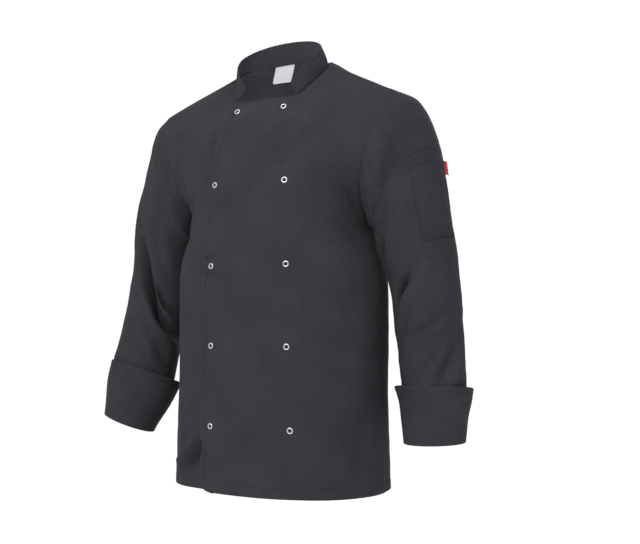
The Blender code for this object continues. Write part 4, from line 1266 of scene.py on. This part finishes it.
def collar_grid():
    run = graded(COLLAR_RUN, start=0.012, stop=0.012, step=COLLAR_POINTS)
    share = run / COLLAR_RUN
    line, places = collar_seam()
    seam = spread(line, share)
    angle = np.interp(share, lengths(line) / lengths(line)[-1], places)
    height = neck_values(angle, "collar_height")
    inward = to_neck(seam)
    lean = inward * neck_values(angle, "collar_lean")[:, None]
    lean[:, 1] -= neck_values(angle, "collar_forward")
    to_end = np.minimum(share, 1 - share) * COLLAR_RUN
    short = np.clip(COLLAR_CORNER - to_end, 0, COLLAR_CORNER)
    height = height - (COLLAR_CORNER - np.sqrt(COLLAR_CORNER**2 - short**2))
    rows = graded(COLLAR_TALL, start=0.004, stop=0.010, step=COLLAR_ROWS)
    up = np.r_[-COLLAR_TUCK, rows] / COLLAR_TALL
    climb = up[:, None, None]
    rise = height[None, :, None] * np.array([0, 0, 1])
    grid = seam + np.array([0, 0, SEAM_GAP]) + climb * (rise + lean)
    grid -= inward * COLLAR_BULGE * np.sin(np.pi * np.maximum(climb, 0))
    grid += (climb < 0) * inward * COLLAR_TUCK
    climb = up[:, None]
    to_top = (1 - climb) * height[None]
    edge = np.minimum(to_top, to_end[None])
    depth = furrow(edge - COLLAR_EDGE, COLLAR_DRAW)
    depth += rippled(grid, [COLLAR_RIPPLE], 41) * smooth_step(climb / COLLAR_STILL)
    depth += pucker(run[None], COLLAR_PITCH, 42) * furrow(to_top, COLLAR_PUCKER)
    roll = neck_roll(grid, climb * height[None])
    return grid - outward(grid) * depth[..., None] + roll, up, share


COLLAR_GRID, COLLAR_CLIMB, COLLAR_SHARE = collar_grid()
collar = add_cloth("stand_collar", COLLAR_GRID, thickness=COLLAR_CLOTH)
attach(collar, "root")
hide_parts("collar")
collar_rows = np.arange(len(COLLAR_CLIMB))
collar_columns = np.arange(len(COLLAR_SHARE))
inset = COLLAR_EDGE / COLLAR_RUN
collar_left, collar_right = np.interp([inset, 1 - inset], COLLAR_SHARE, collar_columns)
collar_top = np.interp(1 - COLLAR_EDGE / COLLAR_MEAN, COLLAR_CLIMB, collar_rows)
collar_stitching = add_stitching("collar_stitching", [
    grid_line(COLLAR_GRID, np.linspace(0.5, collar_top, 40), collar_left),
    grid_line(COLLAR_GRID, collar_top, np.linspace(collar_left, collar_right, 400)),
    grid_line(COLLAR_GRID, np.linspace(collar_top, 0.5, 40), collar_right)])


# The neck label.  A bare satin loop label, its cut edges turned under, sewn across its top to the
# neck seam inside the centre back and left to hang.
LABEL = (0.038, 0.034)
LABEL_SIDE = -0.0145     # its middle, to the wearer's right of the centre back
LABEL_CLOTH = 0.0009
LABEL_CORNER = 0.004
LABEL_HANG = 0.85        # how far it hangs plumb, rather than lying along the back
LABEL_SLANT = -0.0105    # how far its lower edge swings to one side
LABEL_DROP = 0.0030      # from the neck seam down to its top
LABEL_GAP = (0.0004, 0.0012)     # from the back's cloth at its top, and more lower down
LABEL_BOW = 0.55         # how much less of that at its sides
LABEL_WAVE = 0.0008
LABEL_ROW = -20          # the row of the back whose spacing gives its width
SATIN_DARK = (0.58, 0.59, 0.62)
SATIN_LIGHT = (0.74, 0.75, 0.78)


def satin_material():
    """White satin, with long floats across the label."""
    made, shader, wires = new_material("label_satin", Sheen_Weight=0.2, Specular_IOR_Level=0.5)
    floats = wires.cloth().stretched(300, 2600, 1).noise(1.0, 2.0)
    feed(shader, "Base Color", floats.blend(SATIN_DARK, SATIN_LIGHT))
    feed(shader, "Roughness", floats * 0.2 + 0.32)
    feed(shader, "Normal", floats.relief(0.3, 0.0001))
    return made


def label_grid():
    """Hung from the seam on the inside, so its points run the other way round."""
    width, drop = LABEL
    across = np.linspace(-0.5, 0.5, 27)
    down = np.linspace(0, 1, 25)[:, None]
    low = np.clip(LABEL_CORNER - (0.5 - np.abs(across)) * width, 0, LABEL_CORNER)
    tall = drop - (LABEL_CORNER - np.sqrt(LABEL_CORNER**2 - low**2))
    lengths_up = BACK_LENGTH - LABEL_DROP - down * tall
    rows = np.interp(lengths_up, BACK_ROWS, np.arange(len(BACK_ROWS)))
    middle = len(BACK_ACROSS) // 2
    spacing = np.linalg.norm(BACK_GRID[LABEL_ROW, middle + 1] - BACK_GRID[LABEL_ROW, middle])
    columns = middle + (-LABEL_SIDE - across * width) / spacing
    points, normals = grid_line(BACK_GRID, rows, columns)
    at_top, lower = LABEL_GAP
    gap = CLOTH + at_top + lower * down * (1 - LABEL_BOW * (2 * across)**2)
    sewn = points - normals * gap[..., None]
    hang = np.stack([LABEL_SLANT * down + 0 * across, LABEL_WAVE * np.sin(3 * down + across),
                     -tall * down], -1)
    return sewn + (sewn[:1] + hang - sewn) * LABEL_HANG


label = add_cloth("neck_label_satin", label_grid()[:, ::-1], thickness=-LABEL_CLOTH,
                  finish=satin_material())
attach(label, "root")
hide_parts("neck_label")


# The ring snaps.  Ten pressed metal rings in two columns, each crimped through the left front,
# with a rounded rim and a turned-in throat that shows the cloth in its middle.
SNAP_RADIUS = 0.0054
SNAP_HEIGHT = 0.0012
SNAP_LIFT = 0.0001       # above the cloth
SNAP_SIDES = 48
METAL_RUBBED = (0.78, 0.77, 0.75)
METAL_BRIGHT = (0.95, 0.94, 0.92)
SNAP_PROFILE = [(1.00, 0.00), (1.00, 0.28), (0.96, 0.60), (0.88, 0.90), (0.79, 1.00), (0.70, 0.96),
                (0.635, 0.80), (0.60, 0.45), (0.595, -0.20)]   # shares of radius and height


def metal_material():
    """Bright plated metal with a few darker, duller rubs."""
    made, shader, wires = new_material("snap_metal", Metallic=1.0)
    rubs = wires.place().noise(420, 3.0)
    feed(shader, "Base Color", rubs.blend(METAL_RUBBED, METAL_BRIGHT))
    feed(shader, "Roughness", rubs * 0.20 + 0.30)
    return made


METAL = metal_material()
LEFT_NORMALS = outward(LEFT_GRID)


def add_snap(name, node, x, z):
    """A ring on the left front's surface, straight behind the place given."""
    near = np.hypot(LEFT_GRID[..., 0] - x, LEFT_GRID[..., 2] - z)
    r, c = np.unravel_index(np.where(LEFT_GRID[..., 1] < 0, near, 9).argmin(), near.shape)
    closest = LEFT_GRID[r, c]
    normal = unit(LEFT_NORMALS[r - 1:r + 2, c - 1:c + 2].mean((0, 1)))
    y = closest[1] - (normal[0] * (x - closest[0]) + normal[2] * (z - closest[2])) / normal[1]
    place = np.array([x, y, z]) + normal * SNAP_LIFT
    side = unit(np.cross(normal, [0, 0, 1]))
    up = np.cross(side, normal)
    turn = 2 * np.pi * np.arange(SNAP_SIDES)[:, None] / SNAP_SIDES
    ring = np.cos(turn) * side + np.sin(turn) * up
    loops = [place + ring * SNAP_RADIUS * share + normal * SNAP_HEIGHT * rise
             for share, rise in SNAP_PROFILE]
    index = np.arange(len(SNAP_PROFILE) * SNAP_SIDES).reshape(-1, SNAP_SIDES)
    inner = np.roll(index, -1, 0)
    faces = np.stack([index, inner, np.roll(inner, -1, 1), np.roll(index, -1, 1)], -1)
    made = add_mesh(name, np.concatenate(loops), faces.reshape(-1, 4).tolist(), METAL)
    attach(made, "root")
    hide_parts(node)


for number, snap in enumerate(SNAPS, start=1):
    for side, x in (("left", snap.left), ("right", -snap.right)):
        add_snap(f"ring_snap_{number}_{side}", f"snap_{number}_{side}", x, snap.z)


# The studio.  A round pale floor well below the hem, which brightens outward in a painted glow,
# its own emission, until it meets the white surround, a large soft light in front and one behind,
# a cooler one overhead, and a small one inside the jacket, so that its hollow shows.
FLOOR_DROP = 0.45        # from the hem to the floor
FLOOR_RADIUS = 1.9
FLOOR_SIDES = 96
GLOW_START = 0.55        # how far out it starts to glow, and how far out it is brightest
GLOW_FULL = 1.10


def floor_material():
    """A pale grey with a painted glow, its own emission, that grows towards its rim."""
    made, shader, wires = new_material("pale_floor", Roughness=0.9, Emission_Strength=0.6)
    place = wires.place().stretched(1, 1, 0)
    feed(shader, "Base Color", place.noise(3.0).blend((0.84, 0.84, 0.84), (0.88, 0.88, 0.88)))
    away = place.node("VectorMath", {"operation": "LENGTH"}, {0: place}, 1)
    glow = (away - GLOW_START) * (1 / (GLOW_FULL - GLOW_START))
    glow = glow.node("Clamp", {}, {0: glow})
    # Painted glow: the floor emits light of its own, more and more towards its rim.
    feed(shader, "Emission Color", glow.blend((0, 0, 0), (1, 1, 1)))
    return made


floor_z = cad_box[0][2] - FLOOR_DROP
rim = [(FLOOR_RADIUS * np.cos(turn), FLOOR_RADIUS * np.sin(turn), floor_z)
       for turn in 2 * np.pi * np.arange(FLOOR_SIDES) / FLOOR_SIDES]
floor_mesh = bpy.data.meshes.new("floor")
floor_mesh.from_pydata(rim, [], [tuple(range(FLOOR_SIDES))])
floor_mesh.materials.append(floor_material())
floor = bpy.data.objects.new("floor", floor_mesh)
bpy.context.scene.collection.objects.link(floor)

# The surround shows white, and lights the jacket with a part of that
SURROUND_SHOWS = 1.03
SURROUND_LIGHT = 0.48
world = bpy.data.worlds.new("surround")
world.use_nodes = True
surround = world.node_tree.nodes["Background"]
surround.inputs["Color"].default_value = (1.0, 1.0, 1.0, 1)
seen = Wire(world.node_tree).node("LightPath", {}, {}, "Is Camera Ray")
feed(surround, "Strength", seen * (SURROUND_SHOWS - SURROUND_LIGHT) + SURROUND_LIGHT)
bpy.context.scene.world = world
bpy.context.scene.view_settings.view_transform = "Standard"

Lamp = namedtuple("Lamp", "name place aim size power colour")
LAMPS = [
    Lamp("key", (-0.10, -2.15, 1.20), (0.0, 0.0, -0.10), 1.4, 39, (1.0, 1.0, 1.0)),
    Lamp("overhead", (0.9, 0.1, 1.9), (0.0, 0.0, -0.2), 1.4, 13, (0.40, 0.75, 1.0)),
    Lamp("back", (-0.2, 2.4, 0.9), (0.0, 0.0, -0.15), 1.4, 24, (1.0, 1.0, 1.0)),
    Lamp("inside", (0.0, 0.0, -0.40), (0.0, 0.02, 0.0), 0.16, 1.45, (1.0, 1.0, 1.0)),
]
for lamp in LAMPS:
    light = bpy.data.lights.new(lamp.name, "AREA")
    light.size = lamp.size
    light.energy = lamp.power
    light.color = lamp.colour
    made = bpy.data.objects.new(lamp.name, light)
    made.location = lamp.place
    way = Vector(lamp.aim) - Vector(lamp.place)
    made.rotation_euler = way.to_track_quat("-Z", "Y").to_euler()
    bpy.context.scene.collection.objects.link(made)

CAMERA_AWAY = 1.5        # from the jacket's upright axis
CAMERA_AROUND = 26.77    # degrees from straight in front, towards the wearer's left
CAMERA_HEIGHT = 0.2953   # above the hem
CAMERA_UP = 3.345        # degrees by which it looks up, and aside from that axis
CAMERA_ASIDE = -2.689
CAMERA_SENSOR = 36.0     # its width and the lens's focal length, both in millimetres
CAMERA_LENS = 45.68
camera_data = bpy.data.cameras.new("camera")
camera_data.sensor_width = CAMERA_SENSOR
camera_data.lens = CAMERA_LENS
camera = bpy.data.objects.new("camera", camera_data)
turn = np.radians(CAMERA_AROUND)
camera.location = (CAMERA_AWAY * np.sin(turn), -CAMERA_AWAY * np.cos(turn),
                   CAMERA_HEIGHT - NECK_HEIGHT)
camera.rotation_euler = np.radians((90 + CAMERA_UP, 0, CAMERA_AROUND + CAMERA_ASIDE))
bpy.context.scene.collection.objects.link(camera)
bpy.context.scene.camera = camera
